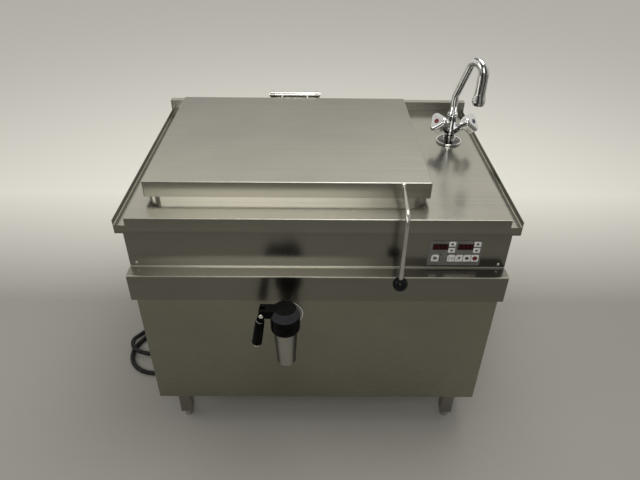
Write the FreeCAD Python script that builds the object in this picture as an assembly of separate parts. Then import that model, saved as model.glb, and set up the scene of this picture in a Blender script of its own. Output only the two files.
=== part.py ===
import FreeCAD, Part
import math
import os
from FreeCAD import Vector

os.makedirs("parts", exist_ok=True)

# A fixed electric bratt pan for a commercial kitchen: a deep rectangular pan let into a worktop,
# a sprung hinged lid, a mixer tap for filling and a plug valve for drawing off.
# Lengths are in millimetres. X runs to the right, Y to the back and Z up from the floor.
# The origin is the middle of the outline on the floor, so the drain tap counts in the depth.

# Overall sizes of the casing
deck_height = 880.0
deck_depth = 850.0
overall_width = 1200.0
gutter_width = 34.5
body_inset = 24.5
cabinet_inset = 38.5
ledge_inset = 22.5
splash_depth = 25.0
sheet = 2.0
apron_height = 175.0
gutter_drop = 25.0
gutter_skirt = 53.0
lip_below_deck = 6.0
splash_height = 34.0
hem_depth = 16.0
back_inset = 60.0
floor_gap = 149.0
panel_sheet = 1.5
ledge_projection = 49.5
ledge_height = 95.0
ledge_return = 14.0
panel_setback = 2.0
panel_return = 22.0
seam = 0.3
screw_radius = 2.0
screw_length = 8.0
screw_head_radius = 4.8
screw_head_height = 3.0
apron_screw_inset = 20.7
apron_screw_rise = 14.0
panel_screw_inset = 26.5
panel_screw_rise = 22.0

# Frame, legs and feet
tube = 40.0
tube_wall = 2.5
post = 28.0
bearer_inset = 80.0
leg_inset = 76.0
front_leg_centre = -2.0
rear_leg_inset = 40.0
leg_bottom = 31.0
foot_across_flats = 27.0
foot_stud_radius = 6.0
foot_stud_length = 45.0

# Pan, measured from the worktop's front edge and surface
pan_margin = 46.0
tap_deck = 232.0
rim_front = 92.0
hinge_deck = 93.0
rim_corner = 42.0
rim_height = 20.0
rim_width = 26.0
pan_wall = 3.0
pan_depth = 341.0
pan_corner = 40.0
pan_floor_round = 22.0
bottom_plate_thickness = 10.0
element_radius = 4.25
element_clearance = 0.2
element_pairs = 4
element_bend = 38.0
clamp_thickness = 3.0
insulation_thickness = 22.0
insulation_gap = 0.5
insulation_top_gap = 12.0

# Lid
lid_overhang = 4.5
lid_sheet = 1.5
lid_height = 52.5
lid_lift = 0.5
lid_corner = 3.0
lid_edge_round = 2.5
tray_sheet = 1.0
tray_inset = 8.0
tray_dip = 15.0
seal_height = 6.5
seal_width = 12.0
seal_gap = 0.3
seal_inset = 4.0

# Lid hinge
hinge_from_back = 55.0
hinge_z = 72.0
barrel_radius = 14.0
barrel_length = 161.0
barrel_bore = 12.0
shaft_radius = 6.0
bearing_clearance = 0.06
barrel_bush = 12.0
bracket_boss_radius = 15.0
bracket_boss_length = 16.0
bracket_web = 10.0
bracket_foot_thickness = 4.0
bracket_foot_depth = 44.0
bracket_foot_width = 34.0
hinge_arm_thickness = 6.0
hinge_arm_spread = 100.0
hinge_arm_height = 24.0
spring_wire = 1.5
spring_turns = 8

# Lid lever
lever_from_lid_end = 84.0
lever_below_lid_top = 11.0
lever_reach = 166.0
lever_drop = 238.0
lever_splay_deg = 3.5
lever_root_radius = 4.5
lever_bend_radius = 30.0
lever_middle_radius = 6.5
lever_end_radius = 8.0
escutcheon_radius = 9.5
escutcheon_thickness = 3.0
ball_radius = 22.5
ball_socket = 14.0

# Mixer tap
mixer_from_deck_end = 85.5
mixer_from_back = 320.0
mixer_flange_radius = 45.0
mixer_flange_height = 10.0
mixer_column_radius = 18.5
mixer_neck_top = 98.0
mixer_shank_radius = 15.0
mixer_shank_length = 46.0
arm_root_height = 38.0
arm_side = 0.63
arm_forward = 0.48
arm_rise = 0.61
arm_radius = 13.0
arm_length = 58.0
spindle_radius = 5.0
spindle_length = 22.0
knob_gap = 0.4
knob_radius = 36.0
knob_corner = 16.0
knob_height = 38.0
knob_neck_radius = 16.0
knob_neck_length = 7.0
nut_radius = 17.5
nut_height = 18.0
spout_radius = 12.3
spout_end_radius = 18.0
spout_riser_top = 172.0
spout_slope_deg = 68.5
spout_slope_length = 128.0
spout_heading_deg = 59.0
spout_bend = 32.0
spout_riser_bend = 30.0
spout_leg = 63.0
aerator_height = 38.0
aerator_radius = 22.5
supply_radius = 7.5
supply_spread = 70.0
supply_shift = 45.0
supply_tail_inside = 34.0
supply_tail_gap = 2.0
supply_thread_length = 14.0
supply_thread_radius = 10.48
supply_tail_radius = 9.5
supply_drop = 300.0

# Draw-off valve
valve_from_pan_centre = 3.0
valve_out = 150.0
valve_pipe_below_deck = 321.0
pipe_radius = 25.0
pipe_bore = 20.0
rosette_radius = 50.0
rosette_thickness = 4.0
valve_body_top_radius = 36.0
valve_body_foot_radius = 28.5
valve_body_bottom = 413.0
valve_body_top = 262.0
plug_top_radius = 27.0
plug_foot_radius = 24.0
plug_bottom = 362.0
plug_clearance = 0.05
plug_port = 17.0
outlet_bore = 21.0
cap_radius = 44.0
cap_top_radius = 33.0
cap_top = 208.0
cap_bevel = 25.0
cap_bottom = 294.0
cap_wall = 5.0
cap_edge_round = 14.0
arm_reach = 69.0
arm_width = 33.0
arm_depth = 28.0
pin_below_cap_top = 18.0
pin_radius = 4.0
pin_head_radius = 7.0
pin_head_height = 3.0
fork_slot = 11.0
grip_tongue = 10.4
grip_length = 126.0
grip_radius = 13.5
grip_neck_radius = 9.0
grip_start = 20.0
grip_hang_deg = 9.0
ferrule_radius = 5.0

# Controls on the front apron
keypad_from_deck_end = 152.0
keypad_below_deck = 118.5
keypad_length = 161.0
keypad_height = 91.0
keypad_thickness = 1.5
window_length = 45.5
window_height = 19.0
window_margin = 1.8
window_left = 12.2
window_from_top = 12.0
key_length = 20.5
arrow_height = 17.0
arrow_left = 59.0
arrow_from_top = 2.5
arrow_pitch_x = 75.4
arrow_pitch_z = 23.0
lower_key_length = 22.5
key_height = 25.0
key_left = 11.3
key_from_top = 51.0
key_pitch = 24.35
key_clearance = 0.25
key_proud = 0.8
key_depth = 3.4
key_travel = 0.5
control_box_depth = 70.0
rail_setback = 330.0
rail_length = 260.0
rail_height = 35.0
rail_depth = 7.5
rail_from_top = 520.0
contactor_width = 45.0
contactor_height = 80.0
contactor_depth = 82.5
terminal_pitch = 16.0
terminal_height = 51.0
terminal_depth = 44.5
control_box_wall = 1.5
board_thickness = 1.6

# Mains lead
cable_radius = 9.0
gland_from_side = 131.5
gland_height = 280.0
gland_length = 34.0
plug_body_radius = 34.0
plug_collar_radius = 38.0
plug_body_length = 150.0

# Places worked out from the sizes above
deck_width = overall_width - 2 * gutter_width
body_width = overall_width - 2 * body_inset
cabinet_width = overall_width - 2 * cabinet_inset
ledge_width = overall_width - 2 * ledge_inset
body_depth = deck_depth - splash_depth
cabinet_back = deck_depth - back_inset
leg_centre_x = cabinet_width / 2 - leg_inset
rear_leg_centre = cabinet_back - rear_leg_inset
tap_reach = valve_out + cap_radius
front = (tap_reach - deck_depth) / 2
top = deck_height
back = front + cabinet_back
rim_x0 = pan_margin - deck_width / 2
rim_x1 = deck_width / 2 - tap_deck
pan_centre_x = (rim_x0 + rim_x1) / 2
rim_y0 = front + rim_front
rim_y1 = front + deck_depth - hinge_deck
rim_top = top + rim_height
pan_x0 = rim_x0 + rim_width
pan_x1 = rim_x1 - rim_width
pan_y0 = rim_y0 + rim_width
pan_y1 = rim_y1 - rim_width
pan_floor = top - pan_depth
lid_x0 = rim_x0 - lid_overhang
lid_x1 = rim_x1 + lid_overhang
lid_y0 = rim_y0 - lid_overhang
lid_y1 = rim_y1 + lid_overhang
lid_bottom = rim_top + lid_lift
lid_top = lid_bottom + lid_height
hinge_y = deck_depth - hinge_from_back
lever_x = lid_x1 - lever_from_lid_end
mixer_x = deck_width / 2 - mixer_from_deck_end
mixer_y = deck_depth - mixer_from_back
valve_x = pan_centre_x - valve_from_pan_centre
keypad_x = deck_width / 2 - keypad_from_deck_end
gland_x = gland_from_side - cabinet_width / 2
apron_bottom = top - apron_height
ledge_bottom = apron_bottom - ledge_height
ledge_front = front - ledge_projection
panel_front = ledge_front + panel_setback
pipe_z = top - valve_pipe_below_deck
valve_y = front - valve_out


def box(x0, x1, y0, y1, z0, z1):
    return Part.makeBox(x1 - x0, y1 - y0, z1 - z0, Vector(x0, y0, z0))


def cylinder(radius, length, start, direction=Vector(0, 0, 1)):
    return Part.makeCylinder(radius, length, start, direction)


def cone(radius_a, radius_b, length, start, direction=Vector(0, 0, 1)):
    return Part.makeCone(radius_a, radius_b, length, start, direction)


def rounded_outline(x0, x1, y0, y1, corner, z):
    """A closed rectangle with round corners, level at height z."""
    c = corner * (1 - math.sqrt(0.5))
    edges = []
    stops = [(x0 + corner, y0), (x1 - corner, y0), (x1, y0 + corner), (x1, y1 - corner),
             (x1 - corner, y1), (x0 + corner, y1), (x0, y1 - corner), (x0, y0 + corner)]
    middles = [(x1 - c, y0 + c), (x1 - c, y1 - c), (x0 + c, y1 - c), (x0 + c, y0 + c)]
    for i in range(4):
        a, b, d = stops[2 * i], stops[2 * i + 1], stops[(2 * i + 2) % 8]
        edges.append(Part.LineSegment(Vector(*a, z), Vector(*b, z)).toShape())
        edges.append(Part.Arc(Vector(*b, z), Vector(*middles[i], z), Vector(*d, z)).toShape())
    return Part.Wire(edges)


def rounded_block(x0, x1, y0, y1, z0, z1, corner):
    face = Part.Face(rounded_outline(x0, x1, y0, y1, corner, z0))
    return face.extrude(Vector(0, 0, z1 - z0))


def turned(points, centre, direction=Vector(0, 0, 1)):
    """A solid of revolution from (radius, height) points about an axis through centre."""
    wire = Part.makePolygon([Vector(r, 0, h) for r, h in points] + [Vector(points[0][0], 0, points[0][1])])
    solid = Part.Face(wire).revolve(Vector(0, 0, 0), Vector(0, 0, 1), 360)
    return put(solid, centre, direction)


def put(solid, centre, direction=Vector(0, 0, 1)):
    """Turn a solid built on the Z axis to a direction, and move its foot to centre."""
    placed = solid.copy()
    placed.Placement = FreeCAD.Placement(centre, FreeCAD.Rotation(Vector(0, 0, 1), direction))
    return placed


def edges_at(solid, axis, value):
    """Edges that lie wholly in the plane axis = value."""
    low, high = {"x": ("XMin", "XMax"), "y": ("YMin", "YMax"), "z": ("ZMin", "ZMax")}[axis]
    return [e for e in solid.Edges
            if abs(getattr(e.BoundBox, low) - value) < 1e-4 and abs(getattr(e.BoundBox, high) - value) < 1e-4]


def fused(solids):
    return solids[0].multiFuse(solids[1:]).removeSplitter()


def hollow_tube(x0, x1, y0, y1, z0, z1, wall, axis):
    """A square tube along one axis, open at both ends."""
    grow = {"x": (0, wall, wall), "y": (wall, 0, wall), "z": (wall, wall, 0)}[axis]
    inner = box(x0 + grow[0], x1 - grow[0], y0 + grow[1], y1 - grow[1], z0 + grow[2], z1 - grow[2])
    return box(x0, x1, y0, y1, z0, z1).cut(inner)


def bent_path(points):
    """Straight runs joined by tangent arcs, as large as the shorter run beside each point allows."""
    edges = []
    radii = []
    start = points[0]
    for before, here, after in zip(points, points[1:], points[2:]):
        into = (here - before).normalize()
        out = (after - here).normalize()
        half_turn = into.getAngle(out) / 2
        shorter = min(here.distanceToPoint(before), here.distanceToPoint(after))
        radius = 0.45 * shorter / math.tan(half_turn)
        reach = 0.45 * shorter
        a = here - into * reach
        b = here + out * reach
        inward = (out - into).normalize()
        middle = here + inward * (radius / math.cos(half_turn) - radius)
        edges.append(Part.LineSegment(start, a).toShape())
        edges.append(Part.Arc(a, middle, b).toShape())
        radii.append(radius)
        start = b
    edges.append(Part.LineSegment(start, points[-1]).toShape())
    return Part.Wire(edges), radii


def swept_tube(points, radius):
    path, radii = bent_path(points)
    ring = Part.Wire(Part.Circle(points[0], points[1] - points[0], radius).toShape())
    return path.makePipeShell([ring], True, False), path, radii


def save(name, shape):
    shape.exportStep("parts/" + name + ".step")
    print(name, len(shape.Solids), round(shape.Volume / 1000, 1), shape.isValid())


# Casing

def worktop():
    """Folded and welded sheet: deck, two side gutters, rear upstand, aprons and the pan's collar.

    Each gutter is open at the front, where its floor folds down into the same skirt as its outer wall.
    """
    half = deck_width / 2
    side = overall_width / 2
    body = body_width / 2
    floor = top - gutter_drop
    rear = front + body_depth
    pieces = [box(-half, half, front, rear, top - sheet, top)]
    for s in (-1, 1):
        def across(a, b, y0, y1, z0, z1):
            return box(min(s * a, s * b), max(s * a, s * b), y0, y1, z0, z1)
        pieces.append(across(half - sheet, half, front, rear, floor - sheet, top))
        pieces.append(across(half - sheet, side, front, rear, floor - sheet, floor))
        pieces.append(across(side - sheet, side, front, rear, top - gutter_skirt, top - lip_below_deck))
        pieces.append(across(body - sheet, side, front, front + sheet, top - gutter_skirt, floor))
        pieces.append(across(body - sheet, body, front, rear, apron_bottom, floor))
        pieces.append(across(body - hem_depth, body, front, rear, apron_bottom, apron_bottom + sheet))
    pieces.append(box(-half, half, front, front + sheet, apron_bottom, top))
    pieces.append(box(-body, body, front, front + sheet, apron_bottom, floor - sheet))
    pieces.append(box(-body, body, front, front + hem_depth, apron_bottom, apron_bottom + sheet))
    pieces.append(box(-body, body, rear - sheet, rear, apron_bottom, top))
    splash_top = top + splash_height
    deep = front + deck_depth
    pieces.append(box(-side, side, rear - sheet, rear, floor - sheet, splash_top))
    pieces.append(box(-side, side, rear - sheet, deep, splash_top - sheet, splash_top))
    pieces.append(box(-side, side, deep - sheet, deep, splash_top - hem_depth, splash_top))
    collar = rounded_block(rim_x0, rim_x1, rim_y0, rim_y1, top - sheet, rim_top - sheet, rim_corner)
    shell = fused(pieces + [collar])
    shell = shell.makeFillet(sheet * 0.9, [e for e in edges_at(shell, "z", top)
                                           if abs(e.BoundBox.YMin - front) < 1e-4
                                           and abs(e.BoundBox.YMax - front) < 1e-4])
    well = rounded_block(rim_x0 + sheet, rim_x1 - sheet, rim_y0 + sheet, rim_y1 - sheet,
                         top - 2 * sheet, rim_top, rim_corner - sheet)
    shell = shell.cut(well)
    tap_hole = cylinder(mixer_shank_radius + seam, 3 * sheet,
                        Vector(mixer_x, front + mixer_y, top - 2 * sheet))
    left, high = keypad_corner()
    m = window_margin
    window = box(left + m, left + keypad_length - m, front - sheet, front + 2 * sheet,
                 high - keypad_height + m, high - m)
    return shell.cut(tap_hole).cut(window).cut(screw_holes())


def front_ledge():
    """Folded channel across the front, closed at its ends, that carries the lower panel's top edge."""
    half = ledge_width / 2
    outer = box(-half, half, ledge_front, front - seam, ledge_bottom, apron_bottom)
    outer = outer.makeFillet(sheet * 0.9, [e for e in edges_at(outer, "z", apron_bottom)
                                           if abs(e.BoundBox.YMax - ledge_front) < 1e-4])
    inner = box(-half + sheet, half - sheet, ledge_front + sheet, front, ledge_bottom + sheet,
                apron_bottom - sheet)
    slot = box(-half + sheet, half - sheet, ledge_front + ledge_return, front, ledge_bottom - sheet,
               ledge_bottom + 2 * sheet)
    return outer.cut(inner).cut(slot)


def lower_front_panel():
    """Plain tray panel with folded side edges and a hole for the drain pipe."""
    half = cabinet_width / 2
    high = ledge_bottom - seam
    outer = box(-half, half, panel_front, panel_front + panel_return, floor_gap, high)
    corners = [e for e in edges_at(outer, "y", panel_front) if abs(e.BoundBox.XMax - e.BoundBox.XMin) < 1e-4]
    outer = outer.makeFillet(panel_sheet, corners)
    inner = box(-half + panel_sheet, half - panel_sheet, panel_front + panel_sheet,
                panel_front + 2 * panel_return, floor_gap + panel_sheet, high - panel_sheet)
    hole = cylinder(pipe_radius + 2, 3 * panel_sheet, Vector(valve_x, panel_front - panel_sheet, pipe_z),
                    Vector(0, 1, 0))
    return outer.cut(inner).cut(hole)


def side_panel(s):
    """Flat side sheet with short folded edges at the front and back."""
    outside = s * cabinet_width / 2
    inside = outside - s * hem_depth
    y0 = panel_front + panel_return + seam
    outer = box(min(inside, outside), max(inside, outside), y0, back - panel_sheet - seam, floor_gap,
                apron_bottom - seam)
    clear = outside - s * panel_sheet
    far = outside - s * 2 * hem_depth
    inner = box(min(far, clear), max(far, clear), y0 + panel_sheet, back - 2 * panel_sheet - seam,
                floor_gap - seam, apron_bottom)
    under_ledge = box(-cabinet_width, cabinet_width, ledge_front, front + seam, ledge_bottom - seam, top)
    return outer.cut(inner).cut(under_ledge)


def rear_panel():
    """Removable back sheet with rows of punched air slots, the gland's hole and the two water tails."""
    half = cabinet_width / 2
    plate = box(-half, half, back - panel_sheet, back, floor_gap, apron_bottom - seam)
    cuts = []
    slot_length = 70.0
    slot_height = 5.0
    for column in range(4):
        for row in range(6):
            x = 60 + column * (slot_length + 20)
            z = apron_bottom - 60 - row * 16
            cuts.append(box(x, x + slot_length, back - 2 * panel_sheet, back + panel_sheet, z, z + slot_height))
    cuts.append(cylinder(cable_radius + 6, 4 * panel_sheet,
                         Vector(gland_x, back - 2 * panel_sheet, gland_height), Vector(0, 1, 0)))
    for s in (-1, 1):
        cuts.append(cylinder(supply_thread_radius + seam, 4 * panel_sheet,
                             Vector(supply_tail_x(s), back - 2 * panel_sheet, top - supply_drop),
                             Vector(0, 1, 0)))
    return plate.cut(Part.makeCompound(cuts)).cut(screw_holes())


def base_plate():
    """Bottom tray of the cabinet, with a turned-up edge."""
    half = cabinet_width / 2 - panel_sheet - 1
    y0 = panel_front + panel_sheet + 1
    y1 = back - panel_sheet - 1
    outer = box(-half, half, y0, y1, floor_gap + panel_sheet + seam, floor_gap + hem_depth)
    inner = box(-half + panel_sheet, half - panel_sheet, y0 + panel_sheet, y1 - panel_sheet,
                floor_gap + 2 * panel_sheet + seam, floor_gap + 2 * hem_depth)
    holes = []
    for s in (-1, 1):
        for y in (front_leg_centre, rear_leg_centre):
            x = s * leg_centre_x
            holes.append(box(x - tube / 2 - seam, x + tube / 2 + seam, front + y - tube / 2 - seam,
                             front + y + tube / 2 + seam, floor_gap - sheet, floor_gap + 3 * panel_sheet))
        inward = cabinet_width / 2 - hem_depth - seam
        for y in (panel_front + panel_return, back - 3 * panel_sheet - seam):
            holes.append(box(min(s * inward, s * cabinet_width), max(s * inward, s * cabinet_width), y,
                             y + 2 * panel_sheet + seam, floor_gap, floor_gap + 2 * hem_depth))
    return outer.cut(inner).cut(Part.makeCompound(holes))


def rail_bottom():
    return floor_gap + 2 * panel_sheet + seam


def frame_reach():
    return cabinet_width / 2 - 2 * panel_sheet - 1.5


def base_frame():
    """Square tubes: four legs that stand below the cabinet, two long rails and three cross rails."""
    low = rail_bottom()
    pieces = []
    y_front = front + front_leg_centre
    y_rear = front + rear_leg_centre
    reach = frame_reach()
    for y in (y_front, y_rear):
        pieces.append(hollow_tube(-reach, reach, y - tube / 2, y + tube / 2, low, low + tube, tube_wall, "x"))
        for s in (-1, 1):
            x = s * leg_centre_x
            leg = hollow_tube(x - tube / 2, x + tube / 2, y - tube / 2, y + tube / 2, leg_bottom, low,
                              tube_wall, "z")
            foot_plate = box(x - tube / 2, x + tube / 2, y - tube / 2, y + tube / 2, leg_bottom,
                             leg_bottom + 4).cut(cylinder(foot_stud_radius + 0.05, 6, Vector(x, y, leg_bottom - 1)))
            pieces.append(leg.fuse(foot_plate).removeSplitter())
    for x in (-leg_centre_x, 0, leg_centre_x):
        pieces.append(hollow_tube(x - tube / 2, x + tube / 2, y_front + tube / 2, y_rear - tube / 2, low,
                                  low + tube, tube_wall, "y"))
    return fused(pieces)


def worktop_posts():
    """Four square posts that carry the worktop, welded to the inner faces of the long rails."""
    low = rail_bottom()
    high = top - sheet
    pieces = []
    x = frame_reach() - post / 2
    inset = tube / 2 + post / 2
    for s in (-1, 1):
        for y in (front + front_leg_centre + inset, front + rear_leg_centre - inset):
            pieces.append(hollow_tube(s * x - post / 2, s * x + post / 2, y - post / 2, y + post / 2, low, high,
                                      tube_wall, "z"))
    return pieces


def pan_bearers():
    """Two cross bars on short uprights that carry the pan from below."""
    under = insulation_bottom()
    low = rail_bottom() + tube
    y_front = front + front_leg_centre
    y_rear = front + rear_leg_centre
    pieces = []
    for x in (pan_x0 + bearer_inset, pan_x1 - bearer_inset):
        for y in (y_front, y_rear):
            pieces.append(hollow_tube(x - tube / 2, x + tube / 2, y - tube / 2, y + tube / 2, low,
                                      under - tube, tube_wall, "z"))
        pieces.append(hollow_tube(x - tube / 2, x + tube / 2, y_front - tube / 2, y_rear + tube / 2,
                                  under - tube, under, tube_wall, "y"))
    return pieces


def frame_uprights():
    return Part.makeCompound(worktop_posts() + pan_bearers())


def levelling_feet():
    """Four screw feet: a hexagon foot and a stud in the leg's end plate."""
    feet = []
    corner = foot_across_flats / 2 / math.cos(math.pi / 6)
    for s in (-1, 1):
        for y in (front_leg_centre, rear_leg_centre):
            at = Vector(s * leg_centre_x, front + y, 0)
            ring = [at + Vector(corner * math.cos(k * math.pi / 3), corner * math.sin(k * math.pi / 3), 0)
                    for k in range(7)]
            foot = Part.Face(Part.makePolygon(ring)).extrude(Vector(0, 0, leg_bottom - seam))
            foot = foot.makeFillet(2.0, edges_at(foot, "z", 0))
            stud = cylinder(foot_stud_radius, foot_stud_length, at + Vector(0, 0, leg_bottom - 2 * seam))
            feet.append(foot.fuse(stud))
    return Part.makeCompound(feet)


# Pan

def pan_vessel():
    """Deep pan with a flat rolled rim, round corners, a radiused floor and a drain hole at the front."""
    outer = rounded_block(pan_x0 - pan_wall, pan_x1 + pan_wall, pan_y0 - pan_wall, pan_y1 + pan_wall,
                          pan_floor - pan_wall, rim_top, pan_corner + pan_wall)
    outer = outer.makeFillet(pan_floor_round + pan_wall, edges_at(outer, "z", pan_floor - pan_wall))
    flange = rounded_block(rim_x0, rim_x1, rim_y0, rim_y1, rim_top - sheet, rim_top, rim_corner)
    flange = flange.makeFillet(sheet * 0.9, edges_at(flange, "z", rim_top))
    inner = rounded_block(pan_x0, pan_x1, pan_y0, pan_y1, pan_floor, rim_top + sheet, pan_corner)
    inner = inner.makeFillet(pan_floor_round, edges_at(inner, "z", pan_floor))
    hole = cylinder(pipe_bore, 60, Vector(valve_x, pan_y0 - 30, pipe_z), Vector(0, 1, 0))
    return outer.fuse(flange).removeSplitter().cut(inner).cut(hole)


def plate_top():
    return pan_floor - pan_wall


def element_top():
    return plate_top() - bottom_plate_thickness - element_clearance


def clamp_bottom():
    return element_top() - 2 * element_radius - element_clearance - clamp_thickness


def insulation_bottom():
    return clamp_bottom() - insulation_gap - insulation_thickness


def pan_bottom_plate():
    """Thick heat-spreading plate under the pan's floor."""
    inset = pan_floor_round + 8
    return rounded_block(pan_x0 + inset, pan_x1 - inset, pan_y0 + inset, pan_y1 - inset,
                         plate_top() - bottom_plate_thickness, plate_top(), 20.0)


def heating_elements():
    """Tubular hairpin elements side by side under the plate, their cold ends turned down at the right."""
    z = element_top() - element_radius
    x_near = pan_x1 - 70
    x_far = pan_x0 + 80
    pitch = (pan_y1 - pan_y0 - 120) / element_pairs
    pins = []
    for k in range(element_pairs):
        y = pan_y0 + 60 + pitch * (k + 0.5)
        a = Vector(x_near, y - element_bend, z)
        b = Vector(x_far, y - element_bend, z)
        c = Vector(x_far, y + element_bend, z)
        d = Vector(x_near, y + element_bend, z)
        turn = Part.Arc(b, Vector(x_far - element_bend, y, z), c).toShape()
        path = Part.Wire([Part.LineSegment(a, b).toShape(), turn, Part.LineSegment(c, d).toShape()])
        ring = Part.Wire(Part.Circle(a, Vector(-1, 0, 0), element_radius).toShape())
        pins.append(path.makePipeShell([ring], True, False))
    return Part.makeCompound(pins)


def element_clamp():
    """Sheet that presses the elements against the plate, held by studs at its corners."""
    inset = pan_floor_round + 14
    low = clamp_bottom()
    plate = rounded_block(pan_x0 + inset, pan_x1 - inset, pan_y0 + inset, pan_y1 - inset, low,
                          low + clamp_thickness, 14.0)
    studs = []
    for x in (pan_x0 + inset + 12, pan_x1 - inset - 12):
        for y in (pan_y0 + inset + 12, pan_y1 - inset - 12):
            studs.append(cylinder(4, plate_top() - bottom_plate_thickness - low, Vector(x, y, low)))
    return fused([plate] + studs)


def pan_insulation():
    """Mineral wool box round the pan's walls and under its heater, resting on the cross bars."""
    gap = insulation_gap + pan_wall
    low = insulation_bottom()
    high = top - sheet - insulation_top_gap
    t = insulation_thickness
    outer = rounded_block(pan_x0 - gap - t, pan_x1 + gap + t, pan_y0 - gap - t, pan_y1 + gap + t, low, high,
                          pan_corner + gap + t)
    inner = rounded_block(pan_x0 - gap, pan_x1 + gap, pan_y0 - gap, pan_y1 + gap, low + t, high + 1,
                          pan_corner + gap)
    hole = cylinder(pipe_radius + seam, 2 * t, Vector(valve_x, pan_y0 - gap - 1.5 * t, pipe_z), Vector(0, 1, 0))
    return outer.cut(inner).cut(hole)


def pan_strainer():
    """Lift-out strainer in the outlet: a perforated disc with a collar and a small loop to pull it by."""
    radius = pipe_bore - seam
    thickness = 1.5
    y0 = pan_y0 - pan_wall
    disc = cylinder(radius, thickness, Vector(valve_x, y0, pipe_z), Vector(0, 1, 0))
    holes = []
    for i in range(-3, 4):
        for j in range(-3, 4):
            if math.hypot(i, j) < 3.2:
                holes.append(cylinder(1.9, 3 * thickness, Vector(valve_x + i * 5, y0 - thickness, pipe_z + j * 5),
                                      Vector(0, 1, 0)))
    disc = disc.cut(Part.makeCompound(holes))
    collar = cylinder(radius, 12, Vector(valve_x, y0 - 12, pipe_z), Vector(0, 1, 0))
    collar = collar.cut(cylinder(radius - thickness, 14, Vector(valve_x, y0 - 13, pipe_z), Vector(0, 1, 0)))
    loop = Part.makeTorus(6, 1.2, Vector(valve_x, y0 + thickness + 5.5, pipe_z + 2.5), Vector(1, 0, 0))
    return fused([disc, collar, loop])


# Lid

def lid_shell():
    """Brushed outer skin of the lid: a shallow tray turned upside down."""
    outer = rounded_block(lid_x0, lid_x1, lid_y0, lid_y1, lid_bottom, lid_top, lid_corner)
    outer = outer.makeFillet(lid_edge_round, edges_at(outer, "z", lid_top))
    t = lid_sheet
    inner = rounded_block(lid_x0 + t, lid_x1 - t, lid_y0 + t, lid_y1 - t, lid_bottom - 1, lid_top - t,
                          lid_corner - t)
    return outer.cut(inner)


def tray_level():
    return rim_top + seal_gap + seal_height + seal_gap


def lid_inner_tray():
    """Inner skin: a flat edge inside the outer skin and a raised-down field that drips into the pan."""
    t = tray_sheet
    gap = lid_sheet + 0.2
    low = tray_level()
    edge = rounded_block(lid_x0 + gap, lid_x1 - gap, lid_y0 + gap, lid_y1 - gap, low, low + t, lid_corner)
    x0, x1, y0, y1 = (pan_x0 + tray_inset, pan_x1 - tray_inset, pan_y0 + tray_inset, pan_y1 - tray_inset)
    corner = pan_corner - tray_inset
    dip = rounded_block(x0, x1, y0, y1, low - tray_dip, low + t, corner)
    hollow = rounded_block(x0 + t, x1 - t, y0 + t, y1 - t, low - tray_dip + t, low + 2 * t, corner - t)
    return edge.fuse(dip).removeSplitter().cut(hollow)


def lid_seal():
    """Silicone frame under the lid's edge, above the pan's rim."""
    low = rim_top + seal_gap
    i = seal_inset
    w = seal_inset + seal_width
    outer = rounded_block(rim_x0 + i, rim_x1 - i, rim_y0 + i, rim_y1 - i, low, low + seal_height, rim_corner - i)
    inner = rounded_block(rim_x0 + w, rim_x1 - w, rim_y0 + w, rim_y1 - w, low - 1, low + seal_height + 1,
                          rim_corner - w)
    return outer.cut(inner)


def hinge_axis(x):
    return Vector(x, front + hinge_y, top + hinge_z)


def lid_hinge_barrel():
    """Tube that turns on the shaft, with two arms to a plate on the lid's rear skirt."""
    x0 = pan_centre_x - barrel_length / 2
    along = Vector(1, 0, 0)
    tube_solid = cylinder(barrel_radius, barrel_length, hinge_axis(x0), along)
    y_skirt = lid_y1 + 0.1
    plate_thickness = 3.0
    pieces = [tube_solid]
    z_mid = lid_top - lid_height / 2
    half_height = hinge_arm_height / 2
    plate_top_z = lid_top - 6
    pieces.append(box(pan_centre_x - hinge_arm_spread / 2 - 20, pan_centre_x + hinge_arm_spread / 2 + 20,
                      y_skirt, y_skirt + plate_thickness, z_mid - half_height, plate_top_z))
    for s in (-1, 1):
        x = pan_centre_x + s * hinge_arm_spread / 2 - hinge_arm_thickness / 2
        reach = front + hinge_y
        profile = [Vector(x, y_skirt, z_mid - half_height), Vector(x, y_skirt, plate_top_z),
                   Vector(x, reach, top + hinge_z + barrel_radius * 0.6),
                   Vector(x, reach, top + hinge_z - barrel_radius * 0.9), Vector(x, y_skirt, z_mid - half_height)]
        pieces.append(Part.Face(Part.makePolygon(profile)).extrude(Vector(hinge_arm_thickness, 0, 0)))
    solid = fused(pieces)
    bore = cylinder(shaft_radius + bearing_clearance, barrel_length + 2, hinge_axis(x0 - 1), along)
    room = cylinder(barrel_bore, barrel_length - 2 * barrel_bush, hinge_axis(x0 + barrel_bush), along)
    return solid.cut(bore).cut(room)


def bracket_centres():
    reach = barrel_length / 2 + seam + bracket_boss_length / 2
    return [pan_centre_x - reach, pan_centre_x + reach]


def hinge_brackets():
    """Two pedestals on the deck, each with a foot plate, a web and a boss for the shaft."""
    along = Vector(1, 0, 0)
    feet = []
    for x in bracket_centres():
        foot = rounded_block(x - bracket_foot_width / 2, x + bracket_foot_width / 2,
                             front + hinge_y - bracket_foot_depth / 2, front + hinge_y + bracket_foot_depth / 2,
                             top, top + bracket_foot_thickness, 6.0)
        web = box(x - bracket_web / 2, x + bracket_web / 2, front + hinge_y - 13, front + hinge_y + 13, top,
                  top + hinge_z)
        boss = cylinder(bracket_boss_radius, bracket_boss_length, hinge_axis(x - bracket_boss_length / 2), along)
        boss = boss.makeFillet(2.0, [e for e in boss.Edges if e.BoundBox.XLength < 1e-4])
        bore = cylinder(shaft_radius + 0.02, bracket_boss_length + 2,
                        hinge_axis(x - bracket_boss_length / 2 - 1), along)
        feet.append(fused([foot, web, boss]).cut(bore))
    return Part.makeCompound(feet)


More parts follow.
